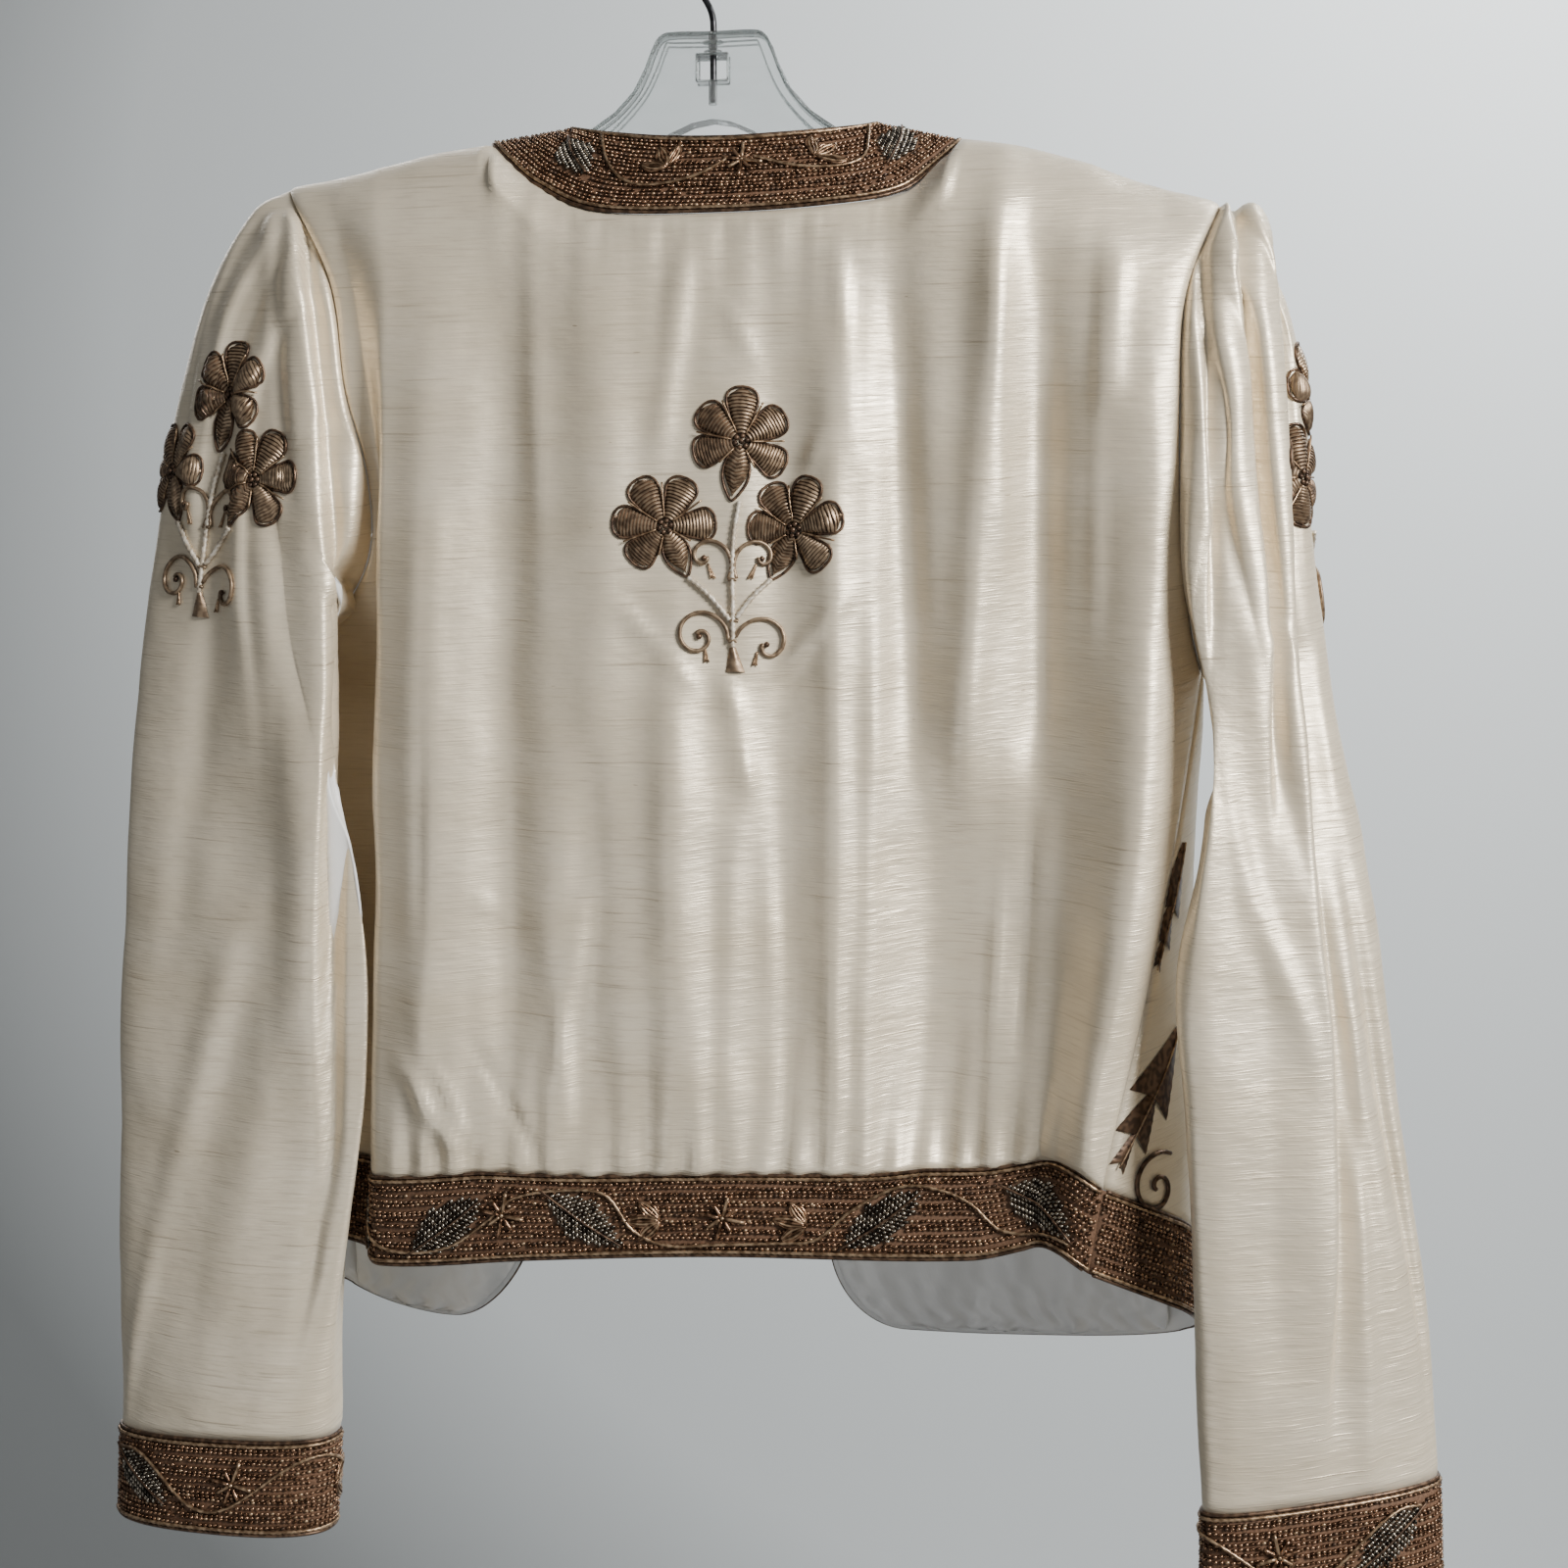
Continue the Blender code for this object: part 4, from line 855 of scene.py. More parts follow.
class Finish:
    """A procedural material: short calls that add nodes and join them."""

    def __init__(self, name, roughness, metallic=0.0, **sockets):
        self.material = bpy.data.materials.new(name)
        self.material.use_nodes = True
        self.tree = self.material.node_tree
        self.shader = self.tree.nodes["Principled BSDF"]
        self.shader.inputs["Roughness"].default_value = roughness
        self.shader.inputs["Metallic"].default_value = metallic
        for socket, value in sockets.items():
            self.shader.inputs[socket.replace("_", " ")].default_value = value

    def node(self, kind, **values):
        """A node; values are its own settings, or the values of its inputs."""
        made = self.tree.nodes.new(kind)
        for key, value in values.items():
            if key in made.inputs:
                made.inputs[key].default_value = value
            else:
                setattr(made, key, value)
        return made

    def join(self, a, out, b, into):
        """Links an output to an input."""
        self.tree.links.new(a.outputs[out], b.inputs[into])

    def grain(self, where, scale, detail):
        """Noise over the cloth's own places (UV) or the object's, stretched by a scale."""
        coords = self.node("ShaderNodeTexCoord")
        mapping = self.node("ShaderNodeMapping", Scale=scale)
        self.join(coords, where, mapping, "Vector")
        made = self.node("ShaderNodeTexNoise", Scale=1.0, Detail=detail, Roughness=0.5)
        self.join(mapping, "Vector", made, "Vector")
        return made

    def ramp(self, source, low, high, bottom=0.0, top=1.0):
        """A noise turned into marks: bottom below low, top above high."""
        made = self.node("ShaderNodeMapRange")
        for key, value in (("From Min", low), ("From Max", high), ("To Min", bottom), ("To Max", top)):
            made.inputs[key].default_value = value
        self.join(source, 0, made, "Value")
        return made

    def blend(self, fac, first, second):
        """A colour between two: each a colour, or a node whose colour is used."""
        made = self.node("ShaderNodeMix", data_type="RGBA")
        self.tree.links.new(fac.outputs[0], made.inputs[0])
        for socket, colour in ((6, first), (7, second)):
            if isinstance(colour, tuple):
                made.inputs[socket].default_value = (*colour, 1.0)
            else:
                self.tree.links.new(colour.outputs[2], made.inputs[socket])
        return made

    def paint(self, colour):
        """Gives the shader a node's colour."""
        self.tree.links.new(colour.outputs[2], self.shader.inputs["Base Color"])

    def rough(self, source):
        """Gives the shader a node's value as its roughness."""
        self.tree.links.new(source.outputs[0], self.shader.inputs["Roughness"])

    def relief(self, layers, distance):
        """Bump from (node, strength) layers."""
        before = None
        for source, strength in layers:
            made = self.node("ShaderNodeBump", Strength=strength, Distance=distance)
            self.join(source, 0, made, "Height")
            if before:
                self.join(before, "Normal", made, "Normal")
            before = made
        self.join(before, "Normal", self.shader, "Normal")


def silk(name, ground, shade, streak):
    """Slubbed silk: a fine weft rib, long thin dark slubs, small flecks and a lustre that varies."""
    made = Finish(name, 0.45, 0.38, Sheen_Weight=0.15, Sheen_Roughness=0.4)
    weft = made.grain("UV", (30.0, 1300.0, 1.0), 1.0)
    slub = made.ramp(made.grain("UV", (19.0, 820.0, 1.0), 2.0), 0.63, 0.74)
    fine = made.ramp(made.grain("UV", (60.0, 1100.0, 1.0), 1.0), 0.54, 0.74)
    fleck = made.ramp(made.grain("UV", (110.0, 500.0, 1.0), 1.0), 0.78, 0.82)
    rib = made.grain("UV", (70.0, 420.0, 1.0), 2.0)
    crumple = made.grain("UV", (60.0, 130.0, 1.0), 3.0)
    cloud = made.grain("UV", (9.0, 30.0, 1.0), 3.0)
    colour = made.blend(made.ramp(cloud, 0.35, 0.7), ground, shade)
    colour = made.blend(made.ramp(weft, 0.3, 0.7, 0.0, 0.22), colour, shade)
    colour = made.blend(made.ramp(fine, 0.0, 1.0, 0.0, 0.15), colour, streak)
    colour = made.blend(made.ramp(slub, 0.0, 1.0, 0.0, 0.42), colour, streak)
    colour = made.blend(made.ramp(fleck, 0.0, 1.0, 0.0, 0.7), colour, streak)
    made.paint(colour)
    made.rough(made.ramp(weft, 0.25, 0.75, 0.31, 0.53))
    made.relief(((weft, 0.14), (slub, 0.34), (fine, 0.24), (rib, 0.42), (crumple, 0.9)), 0.0004)
    return made.material


def satin(name, ground, shade):
    """Plain smooth lining, with a faint cloudiness."""
    made = Finish(name, 0.34, Sheen_Weight=0.15)
    cloud = made.grain("UV", (30.0, 18.0, 1.0), 3.0)
    thread = made.grain("UV", (1600.0, 200.0, 1.0), 0.0)
    colour = made.blend(made.ramp(cloud, 0.35, 0.7), ground, shade)
    made.paint(colour)
    made.rough(made.ramp(cloud, 0.3, 0.7, 0.27, 0.42))
    made.relief(((thread, 0.05), (cloud, 0.2)), 0.0004)
    return made.material


def glassy(name, dark, light, roughness, metallic):
    """Bead glass or metal thread: each bead a little lighter or darker than the next."""
    made = Finish(name, roughness, metallic)
    spot = made.grain("Object", (430.0, 430.0, 430.0), 0.0)
    patch = made.grain("Object", (55.0, 55.0, 55.0), 1.0)
    made.paint(made.blend(made.ramp(spot, 0.38, 0.62), dark, light))
    made.rough(made.ramp(patch, 0.3, 0.7, roughness * 0.75, roughness * 1.3))
    return made.material


def backing(name, dark, light):
    """Plain woven cloth under the beads."""
    made = Finish(name, 0.75)
    weave = made.grain("UV", (900.0, 900.0, 1.0), 1.0)
    made.paint(made.blend(made.ramp(weave, 0.35, 0.65), dark, light))
    made.relief(((weave, 0.3),), 0.0002)
    return made.material


def clear(name, tint, roughness):
    """Clear moulded plastic with fine scuffs."""
    made = Finish(name, roughness, Transmission_Weight=0.92, IOR=1.46)
    scuff = made.grain("Object", (60.0, 60.0, 240.0), 3.0)
    made.paint(made.blend(made.ramp(scuff, 0.4, 0.7), tint, tuple(0.93 * value for value in tint)))
    made.rough(made.ramp(scuff, 0.35, 0.7, roughness, roughness + 0.14))
    return made.material


IVORY = silk("ivory_silk", (0.87, 0.765, 0.595), (0.77, 0.66, 0.49), (0.30, 0.22, 0.14))
LINING = satin("white_satin", (0.90, 0.89, 0.87), (0.80, 0.79, 0.77))
GROUND = backing("band_ground", (0.10, 0.05, 0.025), (0.17, 0.09, 0.05))
BRONZE = glassy("bronze_beads", (0.085, 0.043, 0.022), (0.36, 0.215, 0.13), 0.25, 0.8)
GUNMETAL = glassy("gunmetal_beads", (0.06, 0.052, 0.042), (0.42, 0.37, 0.30), 0.22, 0.9)
# The dark thread's colour also serves as painted shade in the petals' grooves
DARK = glassy("dark_thread_and_groove_shade", (0.06, 0.035, 0.022), (0.15, 0.09, 0.055), 0.38, 0.6)
PALE = glassy("pale_thread", (0.20, 0.125, 0.072), (0.46, 0.32, 0.20), 0.34, 0.75)
GOLD = glassy("wrapped_thread", (0.19, 0.130, 0.083), (0.34, 0.245, 0.16), 0.40, 0.65)
STEM = glassy("stem_thread", (0.50, 0.42, 0.32), (0.74, 0.67, 0.56), 0.5, 0.4)
CLEAR = clear("clear_plastic", (0.86, 0.89, 0.89), 0.08)
# Painted shade: the same clear plastic tinted darker, for the darker look of the hanger's moulded edges,
# bushing and window in the light
PAINTED_SHADE_RIM = clear("clear_edge_painted_shade", (0.62, 0.65, 0.64), 0.18)
STEEL = glassy("dark_wire", (0.035, 0.035, 0.037), (0.075, 0.075, 0.08), 0.34, 0.9)

BEAD, GUN, DIM, LIGHT = 0, 1, 2, 3
BEAD_FINISHES = (BRONZE, GUNMETAL, DARK, PALE)


# Bead bands

# Rows of beads: the pitch of the rows and of the beads in one, a bead's half sizes and its lift
ROW_PITCH = 2.15
BEAD_PITCH = 2.35
BEAD_SIZE = (1.22, 0.84, 0.84)
BEAD_LIFT = 0.55
# A band's bare edge and the first row's distance from it, and the room that a row more would need
EDGE_INSET = 1.0
ROW_MARGIN = 2.4
ROW_ROOM = 3.0
# The share of beads that are missing, and the tones of the others, each from one random shade to another
BEADS_MISSING = 0.015
TONES = ((DIM, -1.0, 0.08), (BEAD, 0.08, 0.90), (LIGHT, 0.90, 2.0))
# Cords along both edges: distance from the edge, radius, tone, lift, pitch of the twist (0 is plain)
OUTER_CORD = (0.1, 0.85, DIM, 0.1, 0.0)
INNER_CORD = (1.7, 0.80, LIGHT, 0.75, 2.6)
# A leaf's beads: the pitch of its slanting rows, the first bead and the step along a row, and the row's
# slant as steps along and across. Then the leaf's outline: how far forward and how round it swells
LEAF_ROWS = 2.0
LEAF_FIRST = 1.1
LEAF_STEP = 2.5
LEAF_SLANT = (0.62, 0.80)
LEAF_FORWARD = 0.85
LEAF_SWELL = 0.8
LEAF_BEAD = (1.40, 0.80, 0.95)
LEAF_BEAD_TURN = 52.0
# Motifs stay this far inside the band
MOTIF_INSET = 1.5


def leaf_places(leaf):
    """Bead places of a leaf in its own axes: herringbone rows on each side of the midrib."""
    _s, _t, length, width, _turn = leaf
    places = []
    for k in range(-1, int(length / LEAF_ROWS) + 2):
        start = -length / 2 + LEAF_ROWS * k
        for side in (-1.0, 1.0):
            reach = LEAF_FIRST
            while reach < width:
                a = start + LEAF_SLANT[0] * reach
                b = side * LEAF_SLANT[1] * reach
                if abs(b) < leaf_edge(leaf, a) - 0.5:
                    places.append((a, b, side))
                reach += LEAF_STEP
    return places


def leaf_edge(leaf, a):
    """Half the leaf's width at a place along its midrib, pointed at both ends."""
    _s, _t, length, width, _turn = leaf
    t = (a + length / 2) / length
    if t <= 0.0 or t >= 1.0:
        return 0.0
    return width / 2 * math.sin(math.pi * t ** LEAF_FORWARD) ** LEAF_SWELL


def in_leaf(leaf, s, t):
    """Which of the places (s, t) lie under a leaf."""
    centre_s, centre_t, length, width, turn = leaf
    cos, sin = math.cos(math.radians(turn)), math.sin(math.radians(turn))
    a = (s - centre_s) * cos + (t - centre_t) * sin
    b = -(s - centre_s) * sin + (t - centre_t) * cos
    share = np.clip((a + length / 2) / length, 0.001, 0.999)
    return np.abs(b) < width / 2 * np.sin(np.pi * share ** LEAF_FORWARD) ** LEAF_SWELL + 0.3


def bead_band(name, strip, design, seed):
    """A band's beads: wavering rows, its leaves, vine, stars and sprigs, and the cords along its edges."""
    random = np.random.default_rng(seed)
    heap = Heap()
    leaves = design["leaves"]
    inside = strip.width - 2 * EDGE_INSET
    rows = int((inside - ROW_ROOM) / ROW_PITCH)
    for k in range(rows + 1):
        t = EDGE_INSET + ROW_MARGIN + k * (inside - 2 * ROW_MARGIN) / max(rows, 1)
        i, j = strip.row(t, BEAD_PITCH, start=0.6 + random.random())
        if len(j) < 2:
            continue
        phase = random.random() * 6.28
        waver = (0.42 * np.sin(j * 0.11 + phase) + 0.30 * np.sin(j * 0.043 + 2.0 * phase)
                 + random.normal(0.0, 0.12, len(j)))
        i = i + waver / strip.width * (len(strip.points) - 1)
        s = np.interp(j, np.arange(len(strip.middle)), strip.middle)
        across = i / (len(strip.points) - 1) * strip.width
        kept = random.random(len(j)) > BEADS_MISSING
        for leaf in leaves:
            kept &= ~in_leaf(leaf, s, across)
        i = np.clip(i[kept], 0, len(strip.points) - 1)
        points, normals, ahead = strip.sample(i, j[kept], BEAD_LIFT)
        shade = random.random(len(points)) + random.uniform(-0.10, 0.06)
        for number, low, high in TONES:
            pick = (shade >= low) & (shade < high)
            add_beads(heap, (points[pick], normals[pick], ahead[pick]), number, BEAD_SIZE)
    for leaf in leaves:
        add_leaf(heap, strip, leaf)
    for vine in design["vines"]:
        line = smooth_line([(s, t, 0.0) for s, t in vine], 0.9)
        points, normals, _ahead = strip.at(line[:, 0], line[:, 1], 1.5)
        add_cord(heap, points, normals, 0.68, LIGHT, pitch=3.2)
    for s, t in design["stars"]:
        add_star(heap, strip, s, t)
    for s, t, turn in design["sprigs"]:
        add_sprig(heap, strip, s, t, turn)
    for far, cord in ((False, OUTER_CORD), (False, INNER_CORD), (True, INNER_CORD), (True, OUTER_CORD)):
        inset, radius, number, lift, pitch = cord
        i, j = strip.row(strip.width - inset if far else inset, 0.95 if pitch else 2.2)
        points, normals, _ahead = strip.sample(i, j, lift)
        add_cord(heap, points, normals, radius, number, sides=6 if pitch else 5, pitch=pitch)
    return heap.piece(name, "band", BEAD_FINISHES)


def on_leaf(leaf, a, b):
    """Band places of points in a leaf's own axes."""
    turn = math.radians(leaf[4])
    return (leaf[0] + a * math.cos(turn) - b * math.sin(turn),
            leaf[1] + a * math.sin(turn) + b * math.cos(turn))


def add_leaf(heap, strip, leaf):
    """A leaf of gunmetal beads, its rows slanting from a wire midrib."""
    for side in (-1.0, 1.0):
        places = [(a, b) for a, b, which in leaf_places(leaf) if which == side]
        spots = np.array([on_leaf(leaf, a, b) for a, b in places])
        inside = (spots[:, 1] > MOTIF_INSET) & (spots[:, 1] < strip.width - MOTIF_INSET)
        points, normals, ahead = strip.at(spots[inside, 0], spots[inside, 1], 1.15)
        cross = np.cross(normals, ahead)
        turn = math.radians(leaf[4]) + side * math.radians(LEAF_BEAD_TURN)
        add_beads(heap, (points, normals, ahead * math.cos(turn) - cross * math.sin(turn)), GUN, LEAF_BEAD)
    length = leaf[2]
    line = smooth_line([(-length * 0.62, 0.0, 0.0), (0.0, 0.7, 0.0), (length * 0.50, 0.0, 0.0)], 1.4)
    spots = np.array([on_leaf(leaf, a, b) for a, b, _z in line])
    spots[:, 1] = np.clip(spots[:, 1], MOTIF_INSET, strip.width - MOTIF_INSET)
    points, normals, _ahead = strip.at(spots[:, 0], spots[:, 1], 2.1)
    add_cord(heap, points, normals, 0.5, DIM, sides=5)


def add_star(heap, strip, s, t):
    """A star of eight straight bugles about a bead."""
    for k in range(8):
        turn = math.radians(45.0 * k + 12.0)
        reach = 9.6 if k % 2 == 0 else 7.4
        line = [(s + r * math.cos(turn), t + r * math.sin(turn)) for r in np.linspace(1.2, reach, 5)]
        points, normals, _ahead = strip.at([a for a, _b in line], [b for _a, b in line], 1.7)
        add_cord(heap, points, normals, 0.80, LIGHT if k % 3 == 0 else BEAD, sides=6)
    add_beads(heap, strip.at([s], [t], 2.0), LIGHT, (1.1, 1.1, 1.1))


def add_sprig(heap, strip, s, t, turn):
    """Three small leaves of curved wires, fanned from one point."""
    for k in (-1, 0, 1):
        heading = math.radians(turn + 42.0 * k)
        length = 15.0 if k == 0 else 13.0
        for bow in (-2.8, -1.5, 0.0, 1.5, 2.8):
            line = []
            for r in np.linspace(0.8, length, 8):
                side = bow * math.sin(math.pi * (r - 0.8) / (length - 0.8))
                line.append((s + r * math.cos(heading) - side * math.sin(heading),
                             t + r * math.sin(heading) + side * math.cos(heading)))
            places = np.array(line)
            places[:, 1] = np.clip(places[:, 1], MOTIF_INSET, strip.width - MOTIF_INSET)
            points, normals, _ahead = strip.at(places[:, 0], places[:, 1], 1.6 - 0.15 * abs(bow))
            add_cord(heap, points, normals, 0.58, LIGHT if abs(bow) == 1.5 else BEAD, sides=5)


# Raised goldwork

# One sprig, in flat millimetres right of and above its lowest knot. Flowers: centre, then the bud
# leaf's direction and length. The petals' directions are from the bud leaf's
FLOWERS = ((3.7, 84.7, -99.0, 24.5), (-28.2, 49.1, -66.0, 22.5), (27.3, 47.2, -118.0, 22.5))
PETAL_TURNS = (70.0, 132.0, 187.0, 239.0, 293.0)
PETAL_LENGTHS = (19.0, 20.0, 21.0, 20.0, 18.0)
PETAL_START = 3.4
PETAL_WIDTH = 16.0
PETAL_HEIGHT = 2.6
BUD_WIDTH = 10.4
# Directions of the wire rays between the petals, and of the short ones beside the bud leaf
RAYS = (36.0, 101.0, 160.0, 213.0, 266.0, 324.0)
SHORT_RAYS = (36.0, 324.0)
# Knots in the ring about a flower's middle one
HEART_KNOTS = 6
# Stems, each from its flower down to the main stem
STEMS = (((3.0, 59.5), (0.6, 45.0), (0.0, 28.0), (0.2, 12.0), (0.0, -2.0)),
         ((-18.6, 27.6), (-9.3, 19.4), (-1.1, 9.7)),
         ((16.4, 26.8), (8.6, 19.6), (1.6, 10.4)))
# Scrolls: centre x z, first and last angle, first and last radius, how fast it winds in
SCROLLS = ((-11.9, 35.8, -40.0, 385.0, 13.5, 1.4, 2.2),
           (12.4, 35.4, 218.0, -205.0, 13.5, 1.4, 2.2),
           (-14.2, 2.6, -6.0, 500.0, 12.6, 1.6, 1.2),
           (14.4, -0.6, 166.0, -190.0, 13.4, 1.5, 1.1))
# Tufts of three wires under the scrolls: top, foot. Wraps across the main stem: centre
TUFTS = ((-10.3, 33.5, -8.0, 27.5), (10.2, 33.3, 7.4, 27.3), (-11.6, -1.8, -11.0, -7.8),
         (10.4, -3.6, 9.2, -9.2))
KNOTS = ((0.0, 26.4), (0.6, 9.0), (0.0, 0.6))
GOLDWORK = (GOLD, DARK, PALE, STEM)
THREAD, OUTLINE_AND_GROOVE_SHADE, WIRE, STALK = 0, 1, 2, 3


def petal_half(t, pointed):
    """Half a petal's width at a share of its length, as a share of its whole width."""
    if pointed:
        return 0.5 * math.sin(math.pi * min(0.10 + 0.90 * t, 1.0)) ** 0.9 if t < 0.99 else 0.02
    return 0.5 * (0.30 + 0.72 * t) * math.sqrt(max(1.0 - max(t - 0.62, 0.0) ** 2 / 0.1445, 0.0))


def add_petal(heap, flower, heading, length, width, pointed=False):
    """A padded petal wrapped across in thread, with painted shade in its grooves and a dark cord round it."""
    rows, columns = 38, 6
    cos, sin = math.cos(math.radians(heading)), math.sin(math.radians(heading))
    start = PETAL_START
    verts = []
    for i in range(rows + 1):
        t = i / rows
        half = petal_half(t, pointed) * width
        for j in range(columns + 1):
            share = 2.0 * j / columns - 1.0
            a = start + (length - start) * (t - (0.10 * abs(share) if pointed else 0.04 * share * share))
            b = half * share
            dome = math.sqrt(max(1.0 - share * share, 0.0)) * math.sin(math.pi * min(0.16 + 0.80 * t, 0.97))
            ridge = 0.18 if i % 3 else -0.36
            height = 0.35 + PETAL_HEIGHT * (dome ** 0.8) + ridge
            verts.append(flower.point(a * cos - b * sin, a * sin + b * cos, height)[0])
    faces = flipped(quads(rows, columns + 1))
    # Painted shade: the rows of faces that fall into the grooves between the wraps get the dark thread's
    # colour
    heap.add(verts, [face for k, face in enumerate(faces) if k // columns % 3], THREAD)
    heap.add(verts, [face for k, face in enumerate(faces) if k // columns % 3 == 0], OUTLINE_AND_GROOVE_SHADE)
    rim = []
    normals = []
    count = 26
    for k in range(count + 1):
        t = 1.0 - abs(2.0 * k / count - 1.0) ** 1.6
        half = 0.0 if k == count // 2 else petal_half(min(t, 0.999), pointed) * width + 0.45
        a = start + (length + 0.5 - start) * t
        b = half if k < count / 2 else -half
        point, normal = flower.point(a * cos - b * sin, a * sin + b * cos, 0.6)
        rim.append(point)
        normals.append(normal)
    add_cord(heap, rim, normals, 0.62, OUTLINE_AND_GROOVE_SHADE, sides=5)


def add_line(heap, spot, places, step, radius, number, height, pitch=0.0, sides=6):
    """A cord laid along flat places on the surface."""
    line = smooth_line([(a, b, 0.0) for a, b in places], step)
    points, normals = zip(*(spot.point(a, b, height) for a, b, _z in line))
    add_cord(heap, points, normals, radius, number, sides, pitch)


def add_knot(heap, spot, a, b, size, height):
    """A knot of the outline's dark thread."""
    point, normal = spot.point(a, b, height)
    side = np.cross(normal, (0.31, 0.2, 0.93))
    side /= np.linalg.norm(side)
    add_beads(heap, (point[None], normal[None], side[None]), OUTLINE_AND_GROOVE_SHADE, (size, size, size * 0.85))


def add_flower(heap, spot, a, b, bud_turn, bud_length):
    """Five round petals and a bud leaf about a cluster of knots, with wire rays between them."""
    flower = spot.walk(a, b)
    for turn, length in zip(PETAL_TURNS, PETAL_LENGTHS):
        add_petal(heap, flower, bud_turn + turn, length + 2.0, PETAL_WIDTH)
    add_petal(heap, flower, bud_turn, bud_length, BUD_WIDTH, pointed=True)
    for turn in RAYS:
        cos, sin = math.cos(math.radians(bud_turn + turn)), math.sin(math.radians(bud_turn + turn))
        reach = 12.5 if turn in SHORT_RAYS else 19.0
        add_line(heap, flower, ((4.0 * cos, 4.0 * sin), (reach * cos, reach * sin)), 1.6, 0.42, WIRE, 2.0,
                 sides=5)
    for k in range(HEART_KNOTS + 1):
        angle = math.radians(60.0 * k + 15.0)
        reach, height = (2.5, 1.6) if k < HEART_KNOTS else (0.0, 2.4)
        add_knot(heap, flower, reach * math.cos(angle), reach * math.sin(angle), 1.35, height)


def add_goldwork(heap, spot):
    """The whole sprig: three flowers, twisted stems, scrolls, tufts, knots and the wrapped foot."""
    for row in FLOWERS:
        add_flower(heap, spot, *row)
    for places in STEMS:
        add_line(heap, spot, places, 0.7, 1.15, STALK, 1.0, pitch=2.4)
    for x, z, first, last, wide, tight, power in SCROLLS:
        places = []
        for k in range(25):
            t = k / 24
            angle = math.radians(mix(first, last, t))
            reach = tight + (wide - tight) * (1 - t) ** power
            places.append((x + reach * math.cos(angle), z + reach * math.sin(angle)))
        add_line(heap, spot, places, 1.0, 0.95, THREAD, 0.9)
        add_knot(heap, spot, x, z, 1.4, 1.2)
    for x, z, low_x, low_z in TUFTS:
        for away in (-0.9, 0.0, 0.9):
            add_line(heap, spot, ((x, z), (low_x + away, low_z - 0.4 * abs(away))), 1.2, 0.38, WIRE, 0.7,
                     sides=5)
    for x, z in KNOTS:
        add_line(heap, spot, ((x - 1.9, z), (x, z + 0.4), (x + 1.9, z)), 0.8, 0.75, THREAD, 1.5, sides=6)
    foot = []
    rows = 14
    for i in range(rows + 1):
        t = i / rows
        half = mix(1.2, 4.1, t)
        for share in (-1.0, -0.6, 0.0, 0.6, 1.0):
            height = 0.3 + 1.7 * (1 - share * share) + (0.12 if i % 2 else -0.12)
            foot.append(spot.point(mix(0.0, 1.2, t) + half * share, mix(-1.4, -12.4, t), height)[0])
    heap.add(foot, flipped(quads(rows, 5)), THREAD)


def add_saw_leaf(heap, spot, a, b, turn, scale):
    """A serrated leaf: three raised wedges along a midrib, hatched with thread."""
    cos, sin = math.cos(math.radians(turn)), math.sin(math.radians(turn))
    for low, high, half in ((0.0, 10.0, 3.0), (8.0, 22.0, 7.0), (19.0, 40.0, 9.0)):
        rows = 14
        verts = []
        for i in range(rows + 1):
            t = i / rows
            reach = half * (1 - t) ** 0.8
            for share in (-1.0, -0.55, 0.0, 0.55, 1.0):
                x = scale * (mix(low, high, t) - 2.6 * abs(share) * (1 - t))
                y = scale * reach * share
                height = 0.3 + 1.3 * (1 - abs(share)) + (0.16 if i % 2 else -0.10)
                verts.append(spot.point(a + x * cos - y * sin, b + x * sin + y * cos, height)[0])
        heap.add(verts, quads(rows, 5), OUTLINE_AND_GROOVE_SHADE)
    add_line(heap, spot, ((a - 3.0 * cos, b - 3.0 * sin), (a + 40.0 * scale * cos, b + 40.0 * scale * sin)),
             1.5, 0.45, WIRE, 1.7, sides=5)


def add_spray(heap, spot, lean):
    """The spray near a front's hem: two serrated leaves one above the other, and a scroll at their foot."""
    for a, b, turn, scale in ((-4.0, 0.0, 57.0, 1.6), (9.0, 82.0, 72.0, 1.3)):
        add_saw_leaf(heap, spot, lean * a, b, turn if lean > 0 else 180.0 - turn, scale)
    places = []
    for k in range(29):
        t = k / 28
        angle = math.radians(mix(60.0, 585.0, t))
        reach = 1.4 + 14.0 * (1 - t) ** 1.25
        places.append((lean * (17.0 + reach * math.cos(angle)), -13.0 + reach * math.sin(angle)))
    add_line(heap, spot, places, 1.1, 1.0, OUTLINE_AND_GROOVE_SHADE, 0.9)


# Pieces

# The relief grows from nothing over this distance from a seam
SEAM_FLAT = 5.0


def dressed(points, sign, relief, closed=False):
    """A surface grid with its fine relief, dipping at the seams: top and bottom, and the sides if open."""
    normals = facing(points, sign, closed)
    along = lengths_along(points, 1)
    across = lengths_along(points, 0)
    away = [across, across[-1:] - across]
    if not closed:
        away += [along, along[:, -1:] - along]
    lift = np.zeros(points.shape[:2])
    rows, columns = lift.shape
    for i in range(rows):
        for j in range(columns):
            x, y, z = points[i, j]
            lift[i, j] = relief(i, j, x, z) + crumple(x, y, z)
    edge = np.full(lift.shape, 1e3)
    for distance in away:
        edge = np.minimum(edge, distance)
    lift *= np.clip(edge / SEAM_FLAT, 0.0, 1.0)
    lift -= STITCH_DITCH * np.exp(-(edge / STITCH_WIDTH) ** 2)
    if closed:
        lift[:, -1] = lift[:, 0]
    return points + normals * lift[:, :, None]


def steps(start, end, count):
    """count equal steps, both ends included."""
    return np.linspace(start, end, count + 1)


def add_silk(node, points, sign, closed=False):
    """The silk of a CAD node, its inner face satin."""
    shell(node + "_silk", points, sign, node, (IVORY, LINING), SHELL, closed)


def add_band(node, grid, sign, design, seed, closed=False):
    """A band's cloth in place of its CAD node, and the band's beads."""
    stem = node.removesuffix("_band")
    shell(stem + "_cloth", grid, sign, node, (GROUND, LINING), BAND_SHELL, closed)
    bead_band(stem + "_beads", Strip(grid, sign, closed), design, seed)


